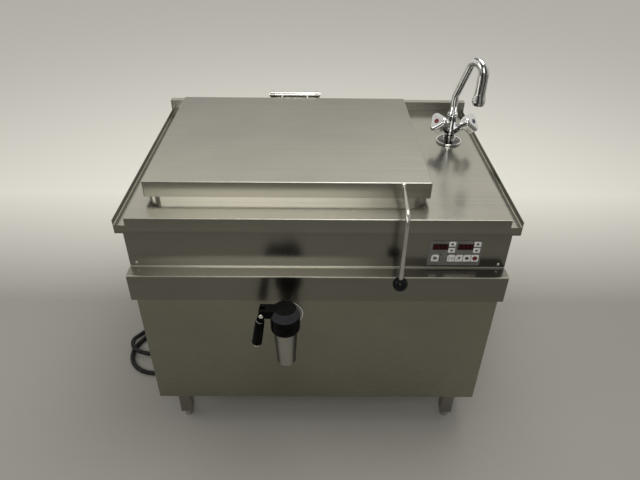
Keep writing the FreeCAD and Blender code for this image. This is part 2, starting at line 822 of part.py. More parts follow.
def hinge_shaft():
    """Plain shaft through both bosses, with a slotted head at each end."""
    along = Vector(1, 0, 0)
    x0, x1 = bracket_centres()
    a = x0 - bracket_boss_length / 2 - seam
    b = x1 + bracket_boss_length / 2 + seam
    head = 4.0
    rod = cylinder(shaft_radius, b - a, hinge_axis(a), along)
    ends = [cylinder(shaft_radius + 3, head, hinge_axis(a - head), along),
            cylinder(shaft_radius + 3, head, hinge_axis(b), along)]
    return fused([rod] + ends)


def hinge_spring():
    """Coil spring inside the barrel that balances the lid."""
    length = barrel_length - 2 * barrel_bush - 10
    coil = Part.makeHelix(length / spring_turns, length, shaft_radius + 0.4 + spring_wire)
    start = Vector(shaft_radius + 0.4 + spring_wire, 0, 0)
    ring = Part.Wire(Part.Circle(start, Vector(0, 1, 0), spring_wire).toShape())
    spring = Part.Wire(coil.Edges).makePipeShell([ring], True, True)
    return put(spring, hinge_axis(pan_centre_x - length / 2), Vector(1, 0, 0))


# Lid lever

def lever_frame():
    """Start of the lever on the lid's skirt, its forward direction and its height."""
    splay = math.radians(lever_splay_deg)
    return (Vector(lever_x, lid_y0, lid_top - lever_below_lid_top), Vector(-math.sin(splay), -math.cos(splay), 0))


def lever_escutcheon():
    """Round cover at the lever's root."""
    start, ahead = lever_frame()
    lens = turned([(lever_root_radius + 0.5, 0), (escutcheon_radius, 0), (escutcheon_radius - 0.6, 1.4),
                   (escutcheon_radius - 3, escutcheon_thickness), (lever_root_radius + 0.5, escutcheon_thickness)],
                  start + Vector(0, -0.05, 0), Vector(0, -1, 0))
    return lens


def lever_rod():
    """Tapered rod, forward from the lid and then down in front of the apron."""
    start, ahead = lever_frame()
    down = Vector(0, 0, -1)
    bend = lever_bend_radius
    root = start + ahead * 1.0
    first = lever_reach - bend - 1.0
    turn_start = root + ahead * first
    turn_end = turn_start + ahead * bend + down * bend
    middle = turn_start + down * bend + (ahead - down) * (bend / math.sqrt(2))
    second = lever_drop - bend - ball_radius + ball_socket
    arm = cone(lever_root_radius, lever_middle_radius, first, root, ahead)
    ring = Part.Wire(Part.Circle(turn_start, ahead, lever_middle_radius).toShape())
    elbow = Part.Wire([Part.Arc(turn_start, middle, turn_end).toShape()]).makePipeShell([ring], True, False)
    leg = cone(lever_middle_radius, lever_end_radius, second, turn_end, down)
    return fused([arm, elbow, leg])


def lever_ball():
    """Black ball knob pushed on the rod's end."""
    start, ahead = lever_frame()
    centre = start + ahead * lever_reach + Vector(0, 0, -lever_drop)
    ball = Part.makeSphere(ball_radius, centre)
    flat = box(centre.x - ball_radius, centre.x + ball_radius, centre.y - ball_radius, centre.y + ball_radius,
               centre.z + ball_radius * 0.9, centre.z + ball_radius * 1.1)
    socket = cylinder(lever_end_radius + 0.05, ball_radius, centre + Vector(0, 0, ball_radius - ball_socket - 0.1))
    return ball.cut(flat).cut(socket)


# Mixer tap

def mixer_axis(height=0.0):
    return Vector(mixer_x, front + mixer_y, top + height)


def arm_direction(s):
    return Vector(s * arm_side, -arm_forward, arm_rise).normalize()


def mixer_flange():
    """Round cover plate on the deck."""
    r = mixer_flange_radius
    h = mixer_flange_height
    bore = mixer_shank_radius + 0.1
    return turned([(bore, 0), (r, 0), (r, 3), (r - 2, 5), (r - 9, 6), (r - 16, 8), (mixer_column_radius + 4, h),
                   (bore, h)], mixer_axis())


def mixer_body():
    """Cast body: column, shank through the deck with its nut, and two slanting valve arms."""
    h = mixer_flange_height
    column = turned([(0, h), (mixer_column_radius + 3, h), (mixer_column_radius + 1, h + 8),
                     (mixer_column_radius, h + 16), (mixer_column_radius, mixer_neck_top - 16),
                     (mixer_column_radius - 2, mixer_neck_top - 10), (nut_radius - 3, mixer_neck_top),
                     (0, mixer_neck_top)], mixer_axis())
    swell = Part.makeSphere(mixer_column_radius + 5, mixer_axis(arm_root_height + 4))
    shank = cylinder(mixer_shank_radius, mixer_shank_length + h, mixer_axis(-mixer_shank_length))
    nut = cylinder(mixer_shank_radius + 9, 8, mixer_axis(-sheet - seam - 8))
    pieces = [column, swell, shank, nut]
    root = mixer_axis(arm_root_height)
    for s in (-1, 1):
        along = arm_direction(s)
        pieces.append(turned([(0, 0), (arm_radius, 0), (arm_radius, arm_length - 8), (arm_radius - 2, arm_length),
                              (spindle_radius, arm_length), (spindle_radius, arm_length + spindle_length),
                              (0, arm_length + spindle_length)], root, along))
    return fused(pieces)


def rounded_triangle(radius, corner):
    """Triangle of three round lobes about the Z axis, level at height 0."""
    edges = []
    centres = [Vector((radius - corner) * math.cos(a), (radius - corner) * math.sin(a), 0)
               for a in (math.pi / 2 + 2 * math.pi * k / 3 for k in range(3))]
    for k in range(3):
        here = centres[k]
        a = math.pi / 2 + 2 * math.pi * k / 3
        def on_corner(turn):
            return here + Vector(corner * math.cos(a + turn), corner * math.sin(a + turn), 0)
        edges.append(Part.Arc(on_corner(-math.pi / 3), on_corner(0), on_corner(math.pi / 3)).toShape())
        nxt = centres[(k + 1) % 3]
        b = a + 2 * math.pi / 3
        end = nxt + Vector(corner * math.cos(b - math.pi / 3), corner * math.sin(b - math.pi / 3), 0)
        edges.append(Part.LineSegment(on_corner(math.pi / 3), end).toShape())
    return Part.Wire(edges)


def tap_knob(s):
    """Three-lobed domed knob on the valve's spindle."""
    wide = rounded_triangle(knob_radius, knob_corner)
    solid = Part.Face(wide).extrude(Vector(0, 0, knob_height))
    solid = solid.makeFillet(11.0, edges_at(solid, "z", knob_height))
    solid = solid.makeFillet(4.0, edges_at(solid, "z", 0))
    neck = cylinder(knob_neck_radius, knob_neck_length + 2, Vector(0, 0, -knob_neck_length))
    bore = cylinder(spindle_radius + bearing_clearance, spindle_length + 0.5,
                    Vector(0, 0, -knob_neck_length - 0.1))
    solid = solid.fuse(neck).removeSplitter().cut(bore)
    along = arm_direction(s)
    foot = mixer_axis(arm_root_height) + along * (arm_length + knob_gap + knob_neck_length)
    return put(solid, foot, along)


def spout_nut():
    """Ring nut that holds the swivelling spout."""
    r = nut_radius
    z = mixer_neck_top
    bore = spout_radius + bearing_clearance
    return turned([(bore, z + seam), (r - 1.5, z + seam), (r, z + 2), (r, z + nut_height - 5), (r - 2, z + nut_height - 3),
                   (r - 2, z + nut_height), (bore, z + nut_height)], mixer_axis())


def spout_points():
    """Heading and the corner points of the spout's line, in its own upright plane."""
    heading = math.radians(spout_heading_deg)
    ahead = Vector(math.cos(heading), -math.sin(heading), 0)
    slope = math.radians(spout_slope_deg)
    climb = ahead * math.cos(slope) + Vector(0, 0, 1) * math.sin(slope)
    return ahead, climb, slope


def mixer_spout():
    """Swan-neck spout: riser, slanting run, a tight bend that widens, and a downward leg."""
    ahead, climb, slope = spout_points()
    up = Vector(0, 0, 1)
    start = mixer_axis(mixer_neck_top + 2 * seam)
    knee = mixer_axis(spout_riser_top)
    crest = knee + climb * spout_slope_length
    half_turn = (math.pi / 2 - slope) / 2
    reach = spout_riser_bend * math.tan(half_turn)
    a = knee - up * reach
    b = knee + climb * reach
    inward = (climb - up).normalize()
    middle = knee + inward * (spout_riser_bend / math.cos(half_turn) - spout_riser_bend)
    line = Part.Wire([Part.LineSegment(start, a).toShape(), Part.Arc(a, middle, b).toShape(),
                      Part.LineSegment(b, crest).toShape()])
    ring = Part.Wire(Part.Circle(start, up, spout_radius).toShape())
    lower = line.makePipeShell([ring], True, False)
    centre = crest + (ahead * math.sin(slope) - up * math.cos(slope)) * spout_bend
    sweep = slope + math.pi / 2
    sections = []
    steps = 8
    for k in range(steps + 1):
        t = slope + math.pi / 2 - sweep * k / steps
        spot = centre + (ahead * math.cos(t) + up * math.sin(t)) * spout_bend
        facing = ahead * math.sin(t) - up * math.cos(t)
        share = k / steps
        radius = spout_radius + (spout_end_radius - spout_radius) * share
        sections.append(Part.Wire(Part.Circle(spot, facing, radius).toShape()))
    bend = Part.makeLoft(sections, True, False)
    end = centre + ahead * spout_bend
    leg = cylinder(spout_end_radius, spout_leg, end, up * -1)
    return fused([lower, bend, leg])


def spout_mouth():
    ahead, climb, slope = spout_points()
    crest = mixer_axis(spout_riser_top) + climb * spout_slope_length
    centre = crest + (ahead * math.sin(slope) - Vector(0, 0, 1) * math.cos(slope)) * spout_bend
    return centre + ahead * spout_bend - Vector(0, 0, spout_leg)


def spout_aerator():
    """Flared outlet with a ring of jets recessed in its mouth."""
    r = aerator_radius
    h = aerator_height
    shell = turned([(0, 0), (spout_end_radius + 1.5, 0), (spout_end_radius + 1.5, 3), (spout_end_radius + 0.5, 4),
                    (r, 22), (r, 26), (r - 3, h), (r - 5, h), (r - 6, h - 6), (0, h - 6)],
                   spout_mouth(), Vector(0, 0, -1))
    jets = []
    for k in range(8):
        a = k * math.pi / 4
        jets.append(cylinder(1.8, 6, spout_mouth() + Vector(9 * math.cos(a), 9 * math.sin(a), -h + 1)))
    return shell.cut(Part.makeCompound(jets))


def supply_tail_x(s):
    return mixer_x - supply_shift + s * supply_spread / 2


def supply_pipe(s):
    """Water pipe from the mixer's shank to its threaded tail at the rear panel."""
    x = supply_tail_x(s)
    z = top - supply_drop
    start = Vector(mixer_x + s * supply_radius * 1.05, front + mixer_y, top - mixer_shank_length - seam)
    points = [start, start + Vector(0, 0, -60), Vector(x, front + mixer_y + 10, top - 170),
              Vector(x, front + mixer_y + 30, z), Vector(x, back - supply_tail_inside, z)]
    pipe, path, radii = swept_tube(points, supply_radius)
    out = supply_tail_inside + supply_tail_gap
    end = out + supply_thread_length
    tail = turned([(0, 0), (supply_tail_radius, 0), (supply_tail_radius, out), (supply_thread_radius, out),
                   (supply_thread_radius, end), (supply_radius - 1.5, end), (supply_radius - 1.5, 10), (0, 10)],
                  Vector(x, back - supply_tail_inside, z), Vector(0, 1, 0))
    return pipe.fuse(tail)


# Draw-off valve

def drain_pipe():
    """Pipe from the pan's front wall to the valve."""
    y0 = valve_y + valve_body_top_radius + 8
    y1 = pan_y0 - pan_wall
    pipe = cylinder(pipe_radius, y1 - y0, Vector(valve_x, y0, pipe_z), Vector(0, 1, 0))
    return pipe.cut(cylinder(pipe_bore, y1 - y0 + 2, Vector(valve_x, y0 - 1, pipe_z), Vector(0, 1, 0)))


def drain_rosette():
    """Polished domed disc round the pipe on the front panel."""
    r = rosette_radius
    t = rosette_thickness
    return turned([(pipe_radius + 0.2, 0), (r, 0), (r, 1.2), (r - 3, t), (r - 20, t + 3), (pipe_radius + 6, t + 4),
                   (pipe_radius + 0.2, t + 4)], Vector(valve_x, panel_front - 0.1, pipe_z), Vector(0, -1, 0))


def valve_axis(below_deck):
    return Vector(valve_x, valve_y, top - below_deck)


def valve_body_radius(below_deck):
    """Outer radius of the tapered body at a depth below the deck."""
    share = (below_deck - cap_bottom) / (valve_body_bottom - cap_bottom)
    return valve_body_top_radius + (valve_body_foot_radius - valve_body_top_radius) * share


def plug_radius(below_deck):
    share = (below_deck - valve_body_top) / (plug_bottom - valve_body_top)
    return plug_top_radius + (plug_foot_radius - plug_top_radius) * share


def drain_valve_body():
    """Tapered stainless body with a conical seat for the plug, a pipe stub and a plain outlet."""
    depth = valve_body_bottom
    gap = plug_clearance
    z = lambda below: depth - below
    profile = [(outlet_bore, 0), (valve_body_foot_radius, 0), (valve_body_top_radius, z(cap_bottom)),
               (valve_body_top_radius, z(valve_body_top)), (plug_top_radius + gap, z(valve_body_top)),
               (plug_foot_radius + gap, z(plug_bottom)), (outlet_bore, z(plug_bottom + 1))]
    body = turned(profile, valve_axis(depth))
    stub = cylinder(pipe_radius, valve_body_top_radius + 8, valve_axis(valve_pipe_below_deck), Vector(0, 1, 0))
    core = turned([(0, 0), (valve_body_foot_radius - 3, 0), (valve_body_top_radius - 3, z(cap_bottom)),
                   (valve_body_top_radius - 3, z(valve_body_top)), (0, z(valve_body_top))], valve_axis(depth))
    way = cylinder(pipe_bore, valve_body_top_radius + 10, valve_axis(valve_pipe_below_deck), Vector(0, 1, 0))
    return body.fuse(stub.cut(core)).removeSplitter().cut(way)


def drain_plug():
    """Hollow conical plug with a side port, which faces right when the valve is shut."""
    depth = plug_bottom
    z = lambda below: depth - below
    solid = turned([(0, 0), (plug_foot_radius, 0), (plug_top_radius, z(valve_body_top)),
                    (10, z(valve_body_top)), (10, z(cap_top + 14)), (0, z(cap_top + 14))], valve_axis(depth))
    hollow = cylinder(plug_foot_radius - 5, z(valve_body_top) - 14, valve_axis(depth + 0.1))
    port = cylinder(plug_port, plug_top_radius + 4, valve_axis(valve_pipe_below_deck), Vector(1, 0, 0))
    return solid.cut(hollow).cut(port)


def pin_place():
    return Vector(valve_x - arm_reach, valve_y, top - cap_top - pin_below_cap_top)


def drain_cap():
    """Black moulded hood over the valve's head, with a forked arm at its top."""
    high = cap_bottom - cap_top
    profile = turned([(0, 0), (cap_radius, 0), (cap_radius, high - cap_bevel), (cap_top_radius, high), (0, high)],
                     valve_axis(cap_bottom))
    hood = profile.makeFillet(cap_edge_round, edges_at(profile, "z", top - cap_bottom))
    pin = pin_place()
    z1 = top - cap_top
    z0 = z1 - arm_depth
    half = arm_width / 2
    outline = [Vector(valve_x, 0, z0), Vector(pin.x - 6, 0, z0), Vector(pin.x - 10, 0, z0 + 8),
               Vector(pin.x - 4, 0, z1), Vector(valve_x, 0, z1), Vector(valve_x, 0, z0)]
    arm = Part.Face(Part.makePolygon(outline)).extrude(Vector(0, arm_width, 0))
    arm.translate(Vector(0, valve_y - half, 0))
    hood = hood.fuse(arm).removeSplitter()
    room = cylinder(valve_body_top_radius + 2.5, cap_bottom - valve_body_top + 3, valve_axis(cap_bottom + 1))
    stem = cylinder(10.02, cap_bottom - cap_top - 14, valve_axis(cap_bottom))
    slot = box(pin.x - 20, pin.x + 12, valve_y - fork_slot / 2, valve_y + fork_slot / 2, z0 - 1, z1 + 1)
    hole = cylinder(pin_radius + 0.02, arm_width + 2, pin - Vector(0, half + 1, 0), Vector(0, 1, 0))
    return hood.cut(room).cut(stem).cut(slot).cut(hole)


def grip_pin():
    """Bright pivot pin of the folding grip."""
    half = arm_width / 2
    pin = pin_place()
    body = cylinder(pin_radius, arm_width + 2 * seam, pin - Vector(0, half + seam, 0), Vector(0, 1, 0))
    heads = []
    for s in (-1, 1):
        heads.append(turned([(0, 0), (pin_head_radius, 0), (pin_head_radius, 1.2), (pin_head_radius - 2, pin_head_height),
                             (0, pin_head_height)], pin + Vector(0, s * (half + seam), 0), Vector(0, s, 0)))
    return fused([body] + heads)


def drain_grip():
    """Black folding grip: a tongue in the fork and a tapered round body that hangs down."""
    body = turned([(0, grip_start), (grip_neck_radius, grip_start), (grip_neck_radius + 2, grip_start + 6),
                   (grip_radius - 1.5, grip_start + 16), (grip_radius, grip_length - 30),
                   (grip_radius, grip_length - 8), (grip_radius - 5, grip_length), (0, grip_length)],
                  Vector(0, 0, 0), Vector(0, 0, -1))
    tongue = box(-8, 8, -grip_tongue / 2, grip_tongue / 2, -grip_start - 4, 0)
    eye = cylinder(8, grip_tongue, Vector(0, -grip_tongue / 2, 0), Vector(0, 1, 0))
    ferrule = cylinder(ferrule_radius, 3, Vector(0, 0, -grip_length - 2.5))
    hole = cylinder(pin_radius + bearing_clearance, grip_tongue + 2, Vector(0, -grip_tongue / 2 - 1, 0),
                    Vector(0, 1, 0))
    grip = fused([body, tongue, eye, ferrule]).cut(hole)
    grip.Placement = FreeCAD.Placement(pin_place(), FreeCAD.Rotation(Vector(0, 1, 0), grip_hang_deg))
    return grip


# Controls

def keypad_corner():
    return (keypad_x - keypad_length / 2, top - keypad_below_deck + keypad_height / 2)


def key_places():
    """Left edge, top edge, length and height of each key, from the plate's top left corner."""
    places = {}
    names = ["left", "right"]
    for i in range(2):
        x = arrow_left + i * arrow_pitch_x
        places["key_up_" + names[i]] = (x, arrow_from_top, key_length, arrow_height)
        places["key_down_" + names[i]] = (x, arrow_from_top + arrow_pitch_z, key_length, arrow_height)
    row = ["key_timer", "key_level", "key_arrow", "key_rinse", "key_on_off"]
    steps = [0, 2, 3, 4, 5]
    for name, step in zip(row, steps):
        places[name] = (key_left + step * key_pitch, key_from_top, lower_key_length, key_height)
    return places


def window_places():
    return [(window_left + i * arrow_pitch_x, window_from_top) for i in range(2)]


def on_keypad(x, z, length, height, y0, y1):
    left, high = keypad_corner()
    return box(left + x, left + x + length, y0, y1, high - z - height, high - z)


def keypad_panel():
    """Front plate of the controls, with openings for the keys and the two displays."""
    y0 = front - keypad_thickness
    plate = on_keypad(0, 0, keypad_length, keypad_height, y0, front - 0.05)
    upright = [e for e in plate.Edges if e.BoundBox.YLength > keypad_thickness / 2]
    plate = plate.makeFillet(3.0, upright)
    cuts = [on_keypad(x - key_clearance, z - key_clearance, w + 2 * key_clearance, h + 2 * key_clearance,
                      y0 - 1, front + 1) for x, z, w, h in key_places().values()]
    cuts += [on_keypad(x, z, window_length, window_height, y0 - 1, front + 1) for x, z in window_places()]
    return plate.cut(Part.makeCompound(cuts))


def display_windows():
    """Two tinted windows, each in its opening of the plate."""
    y0 = front - keypad_thickness - 0.2
    panes = []
    for x, z in window_places():
        panes.append(on_keypad(x + 0.1, z + 0.1, window_length - 0.2, window_height - 0.2, y0, front + 1))
    return Part.makeCompound(panes)


def key(name):
    """One key: a low rounded cap that slides in the plate."""
    x, z, w, h = key_places()[name]
    y0 = front - keypad_thickness - key_proud
    cap = on_keypad(x, z, w, h, y0, y0 + key_depth)
    cap = cap.makeFillet(1.2, [e for e in cap.Edges if e.BoundBox.YLength > key_depth / 2])
    return cap.makeChamfer(0.3, edges_at(cap, "y", y0))


def board_front():
    """Front face of the circuit board, clear of the apron's sheet and of the pressed keys."""
    return front + sheet + 0.9


def control_board():
    """Circuit board behind the keys, with one switch under each key and two display modules."""
    y0 = board_front()
    pieces = [on_keypad(8, 5, keypad_length - 16, keypad_height - 10, y0, y0 + board_thickness)]
    for x, z, w, h in key_places().values():
        left, high = keypad_corner()
        nub = y0 - (front - keypad_thickness - key_proud + key_depth + key_travel + seam)
        pieces.append(cylinder(3, nub + 0.1, Vector(left + x + w / 2, y0 - nub, high - z - h / 2), Vector(0, 1, 0)))
    for x, z in window_places():
        pieces.append(on_keypad(x + 2, z + 2, window_length - 4, window_height - 4, front + 1.2, y0 + 0.1))
    pieces.append(on_keypad(20, 60, 60, 18, y0 + board_thickness - 0.1, y0 + 16))
    pieces.append(on_keypad(100, 40, 40, 34, y0 + board_thickness - 0.1, y0 + 24))
    return fused(pieces)


def control_box():
    """Folded steel box behind the apron that shields the electronics."""
    margin = 3.0
    y0 = front + sheet + 0.1
    y1 = front + control_box_depth
    w = control_box_wall
    outer = on_keypad(-margin, -margin, keypad_length + 2 * margin, keypad_height + 2 * margin, y0, y1)
    inner = on_keypad(w - margin, w - margin, keypad_length + 2 * margin - 2 * w,
                      keypad_height + 2 * margin - 2 * w, y0 - 1, y1 - w)
    left, high = keypad_corner()
    posts = []
    for x in (12, keypad_length - 12):
        for z in (8, keypad_height - 8):
            posts.append(cylinder(3, y1 - board_front() - board_thickness - 0.1,
                                  Vector(left + x, board_front() + board_thickness + 0.1, high - z),
                                  Vector(0, 1, 0)))
    return fused([outer.cut(inner)] + posts)


def switchgear():
    """Rail on the right with two contactors and a row of terminals."""
    x1 = cabinet_width / 2 - panel_sheet - seam
    y0 = front + rail_setback
    middle = top - rail_from_top + rail_height / 2
    pieces = [box(x1 - rail_depth, x1, y0, y0 + rail_length, middle - rail_height / 2, middle + rail_height / 2)]
    step = contactor_width * 1.2
    for k in range(2):
        y = y0 + step * (k + 0.2)
        high = contactor_height / 2
        nose = contactor_width / 4
        pieces.append(box(x1 - rail_depth - contactor_depth, x1 - rail_depth, y, y + contactor_width,
                          middle - high, middle + high))
        pieces.append(box(x1 - rail_depth - contactor_depth - nose / 2, x1 - rail_depth - contactor_depth,
                          y + nose, y + contactor_width - nose, middle - high / 3, middle + high / 3))
    for k in range(6):
        y = y0 + 2.6 * step + k * terminal_pitch
        pieces.append(box(x1 - rail_depth - terminal_depth, x1 - rail_depth, y, y + 0.9 * terminal_pitch,
                          middle - terminal_height / 2, middle + terminal_height / 2))
    return fused(pieces)


def screw_places():
    """Foot and outward direction of each panel screw."""
    ahead = Vector(0, -1, 0)
    behind = Vector(0, 1, 0)
    places = []
    for s in (-1, 1):
        inner = s * (cabinet_width / 2 - panel_screw_inset)
        places.append((Vector(s * (body_width / 2 - apron_screw_inset), front, apron_bottom + apron_screw_rise), ahead))
        for z in (floor_gap + panel_screw_rise, apron_bottom - panel_screw_rise):
            places.append((Vector(inner, back, z), behind))
    return places


def screw_holes():
    return Part.makeCompound([cylinder(screw_radius + 0.05, 3 * sheet, foot - outward * 2 * sheet, outward)
                              for foot, outward in screw_places()])


def panel_screws():
    """Low domed screws of the apron and the back."""
    screws = []
    for foot, outward in screw_places():
        r = screw_head_radius
        h = screw_head_height
        head = turned([(0, 0), (r, 0), (0.88 * r, 0.53 * h), (0.54 * r, 0.87 * h), (0, h)], foot, outward)
        screws.append(head.fuse(cylinder(screw_radius, screw_length, foot - outward * screw_length, outward)))
    return Part.makeCompound(screws)


# Mains lead

def cable_gland():
    """Clamp gland in the back panel: a hexagon, a threaded neck and a domed nut."""
    start = Vector(gland_x, back, gland_height)
    bore = cable_radius + 0.05
    shape = turned([(bore, -10), (cable_radius + 5.5, -10), (cable_radius + 5.5, 0.1), (cable_radius + 10, 0.1),
                    (cable_radius + 10, 8), (cable_radius + 8, 9), (cable_radius + 9, 11), (cable_radius + 9, 20),
                    (cable_radius + 4, gland_length), (bore, gland_length)], start, Vector(0, 1, 0))
    return shape


def floor_point(x, y, height):
    return Vector(x, front + y, height)


def cable_route():
    """Points of the mains lead: down behind the cabinet, along the floor and round one loose loop."""
    low = cable_radius + 0.2
    crossing = 3 * cable_radius + 1.5
    way_out = cabinet_back + gland_length
    lie = plug_collar_radius + 0.2
    return [floor_point(gland_x, way_out - 12, gland_height), floor_point(gland_x, way_out + 44, gland_height),
            floor_point(-433, way_out + 94, 250), floor_point(-440, way_out + 124, 198),
            floor_point(-454, way_out + 134, 128), floor_point(-478, way_out + 120, 64),
            floor_point(-517, way_out + 88, 24), floor_point(-566, way_out + 48, low),
            floor_point(-612, 824, low), floor_point(-650, 770, low), floor_point(-676, 710, low),
            floor_point(-688, 648, low), floor_point(-690, 586, low), floor_point(-698, 525, low),
            floor_point(-716, 474, low), floor_point(-744, 432, low), floor_point(-769, 392, low + 4),
            floor_point(-789, 346, crossing), floor_point(-775, 302, crossing + 2),
            floor_point(-740, 274, crossing), floor_point(-686, 276, low + 6), floor_point(-628, 272, low),
            floor_point(-570, 265, low), floor_point(-511, 274, low), floor_point(-465, 312, low),
            floor_point(-444, 369, low), floor_point(-455, 428, low), floor_point(-494, 474, low),
            floor_point(-550, 494, low), floor_point(-610, 489, low), floor_point(-664, 464, low),
            floor_point(-709, 424, low), floor_point(-745, 374, low), floor_point(-775, 322, low),
            floor_point(-775, 262, low), floor_point(-745, 210, low), floor_point(-693, 180, low),
            floor_point(-633, 178, low), floor_point(-579, 187, low + 9), floor_point(-525, 196, lie),
            floor_point(-470, 196, lie)]


def mains_cable():
    """Thick rubber lead, a plain round tube along its route."""
    points = cable_route()
    cable, path, radii = swept_tube(points, cable_radius)
    print("cable length", round(path.Length), "volume ratio",
          round(cable.Volume / (math.pi * cable_radius ** 2 * path.Length), 4))
    print("cable radii", [round(r) for r in radii])
    return cable


def mains_plug():
    """Round industrial plug with five pins, lying on its collar."""
    route = cable_route()
    start = route[-1]
    along = Vector(1, 0, 0)
    r = plug_body_radius
    c = plug_collar_radius
    n = plug_body_length
    body = turned([(0, 0), (cable_radius + 4, 0), (cable_radius + 7, 18), (r - 8, 30), (r - 2, 60), (r - 2, n - 62),
                   (c, n - 56), (c, n - 50), (r, n - 46), (r, n), (r - 4, n), (r - 4, n - 34), (0, n - 34)],
                  start, along)
    pins = []
    for k in range(5):
        a = 2 * math.pi * k / 5
        at = start + Vector(n - 36, 17 * math.cos(a), 17 * math.sin(a))
        pins.append(cylinder(2.5 if k else 3.2, 30, at, along))
    return fused([body] + pins)


save("worktop", worktop())
save("front_ledge", front_ledge())
save("lower_front_panel", lower_front_panel())
save("left_side_panel", side_panel(-1))
save("right_side_panel", side_panel(1))
save("rear_panel", rear_panel())
save("base_plate", base_plate())
save("base_frame", base_frame())
save("frame_uprights", frame_uprights())
save("levelling_feet", levelling_feet())
save("pan_vessel", pan_vessel())
save("pan_bottom_plate", pan_bottom_plate())
save("heating_elements", heating_elements())
save("element_clamp", element_clamp())
save("pan_insulation", pan_insulation())
save("pan_strainer", pan_strainer())
save("lid_shell", lid_shell())
save("lid_inner_tray", lid_inner_tray())
save("lid_seal", lid_seal())
save("lid_hinge_barrel", lid_hinge_barrel())
save("hinge_brackets", hinge_brackets())
save("hinge_shaft", hinge_shaft())
save("hinge_spring", hinge_spring())
save("lever_escutcheon", lever_escutcheon())
save("lever_rod", lever_rod())
save("lever_ball", lever_ball())
save("mixer_flange", mixer_flange())
save("mixer_body", mixer_body())
save("hot_knob", tap_knob(-1))
save("cold_knob", tap_knob(1))
save("spout_nut", spout_nut())
save("mixer_spout", mixer_spout())
save("spout_aerator", spout_aerator())
save("hot_supply_pipe", supply_pipe(-1))
save("cold_supply_pipe", supply_pipe(1))
save("drain_pipe", drain_pipe())
save("drain_rosette", drain_rosette())
save("drain_valve_body", drain_valve_body())
save("drain_plug", drain_plug())
save("drain_cap", drain_cap())
save("grip_pin", grip_pin())
save("drain_grip", drain_grip())
save("keypad_panel", keypad_panel())
save("display_windows", display_windows())
save("control_board", control_board())
save("control_box", control_box())
save("switchgear", switchgear())
save("panel_screws", panel_screws())
save("cable_gland", cable_gland())
save("mains_cable", mains_cable())
save("mains_plug", mains_plug())
for name in key_places():
    save(name, key(name))
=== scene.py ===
import bpy
import math
from mathutils import Matrix, Vector


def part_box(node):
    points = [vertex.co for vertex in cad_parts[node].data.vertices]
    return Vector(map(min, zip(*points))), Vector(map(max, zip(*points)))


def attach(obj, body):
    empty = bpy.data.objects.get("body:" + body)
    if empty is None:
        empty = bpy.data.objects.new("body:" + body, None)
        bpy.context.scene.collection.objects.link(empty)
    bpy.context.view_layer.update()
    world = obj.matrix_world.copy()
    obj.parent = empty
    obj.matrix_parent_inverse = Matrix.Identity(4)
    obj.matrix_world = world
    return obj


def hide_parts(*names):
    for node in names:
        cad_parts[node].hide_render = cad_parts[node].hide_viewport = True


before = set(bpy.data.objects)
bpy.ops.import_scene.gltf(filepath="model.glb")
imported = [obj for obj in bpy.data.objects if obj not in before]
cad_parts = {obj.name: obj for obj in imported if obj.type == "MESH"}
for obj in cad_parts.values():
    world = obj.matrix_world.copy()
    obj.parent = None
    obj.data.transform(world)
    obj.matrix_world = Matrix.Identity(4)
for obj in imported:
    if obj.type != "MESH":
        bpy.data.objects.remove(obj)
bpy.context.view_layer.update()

# Camera, light and floor
# The viewpoint is a standing person's, a little left of the middle and looking down on the lid. Soft
# panels overhead and a pale surround light the steel evenly. The floor is plain and pale where it is seen,
# and darkens out of view towards the front as a painted dark room for the steel's fronts to mirror.
deck_height = 0.880
sensor_width = 36.0
focal_length = 550.5
picture_width = 640.0
camera_data = bpy.data.cameras.new("camera")
camera_data.lens = sensor_width * focal_length / picture_width
camera_data.sensor_width = sensor_width
camera_data.clip_end = 60.0
camera = bpy.data.objects.new("camera", camera_data)
bpy.context.scene.collection.objects.link(camera)
camera.location = (-0.0111, -1.661, deck_height + 0.8785)
yaw, pitch, roll = -0.69, 35.51, 0.75
camera.rotation_euler = (Matrix.Rotation(math.radians(yaw), 3, "Z")
                         @ Matrix.Rotation(math.radians(90.0 - pitch), 3, "X")
                         @ Matrix.Rotation(math.radians(roll), 3, "Z")).to_euler()
bpy.context.scene.camera = camera
bpy.context.scene.view_settings.view_transform = "Standard"

world = bpy.data.worlds.new("pale_room")
bpy.context.scene.world = world
world.use_nodes = True
air = world.node_tree
air.nodes.clear()
seen = air.nodes.new("ShaderNodeLightPath")
lit = air.nodes.new("ShaderNodeBackground")
lit.inputs["Color"].default_value = (0.80, 0.79, 0.76, 1.0)
lit.inputs["Strength"].default_value = 0.60
shown = air.nodes.new("ShaderNodeBackground")
shown.inputs["Strength"].default_value = 1.0
facing = air.nodes.new("ShaderNodeTexCoord")
parts_of_view = air.nodes.new("ShaderNodeSeparateXYZ")
room = air.nodes.new("ShaderNodeValToRGB")
room.color_ramp.elements[0].position = 0.25
room.color_ramp.elements[0].color = (0.20, 0.196, 0.182, 1.0)
room.color_ramp.elements[1].position = 0.62
room.color_ramp.elements[1].color = (0.67, 0.655, 0.60, 1.0)
half = air.nodes.new("ShaderNodeMath")
half.operation = "MULTIPLY_ADD"
half.inputs[1].default_value = 0.5
half.inputs[2].default_value = 0.5
either = air.nodes.new("ShaderNodeMath")
either.operation = "MAXIMUM"
through = air.nodes.new("ShaderNodeMath")
through.operation = "MAXIMUM"
choose = air.nodes.new("ShaderNodeMixShader")
sky = air.nodes.new("ShaderNodeOutputWorld")
air.links.new(facing.outputs["Generated"], parts_of_view.inputs[0])
air.links.new(parts_of_view.outputs["Y"], half.inputs[0])
air.links.new(half.outputs[0], room.inputs["Fac"])
air.links.new(room.outputs["Color"], shown.inputs["Color"])
air.links.new(seen.outputs["Is Camera Ray"], either.inputs[0])
air.links.new(seen.outputs["Is Glossy Ray"], either.inputs[1])
air.links.new(either.outputs[0], through.inputs[0])
air.links.new(seen.outputs["Is Transmission Ray"], through.inputs[1])
air.links.new(through.outputs[0], choose.inputs[0])
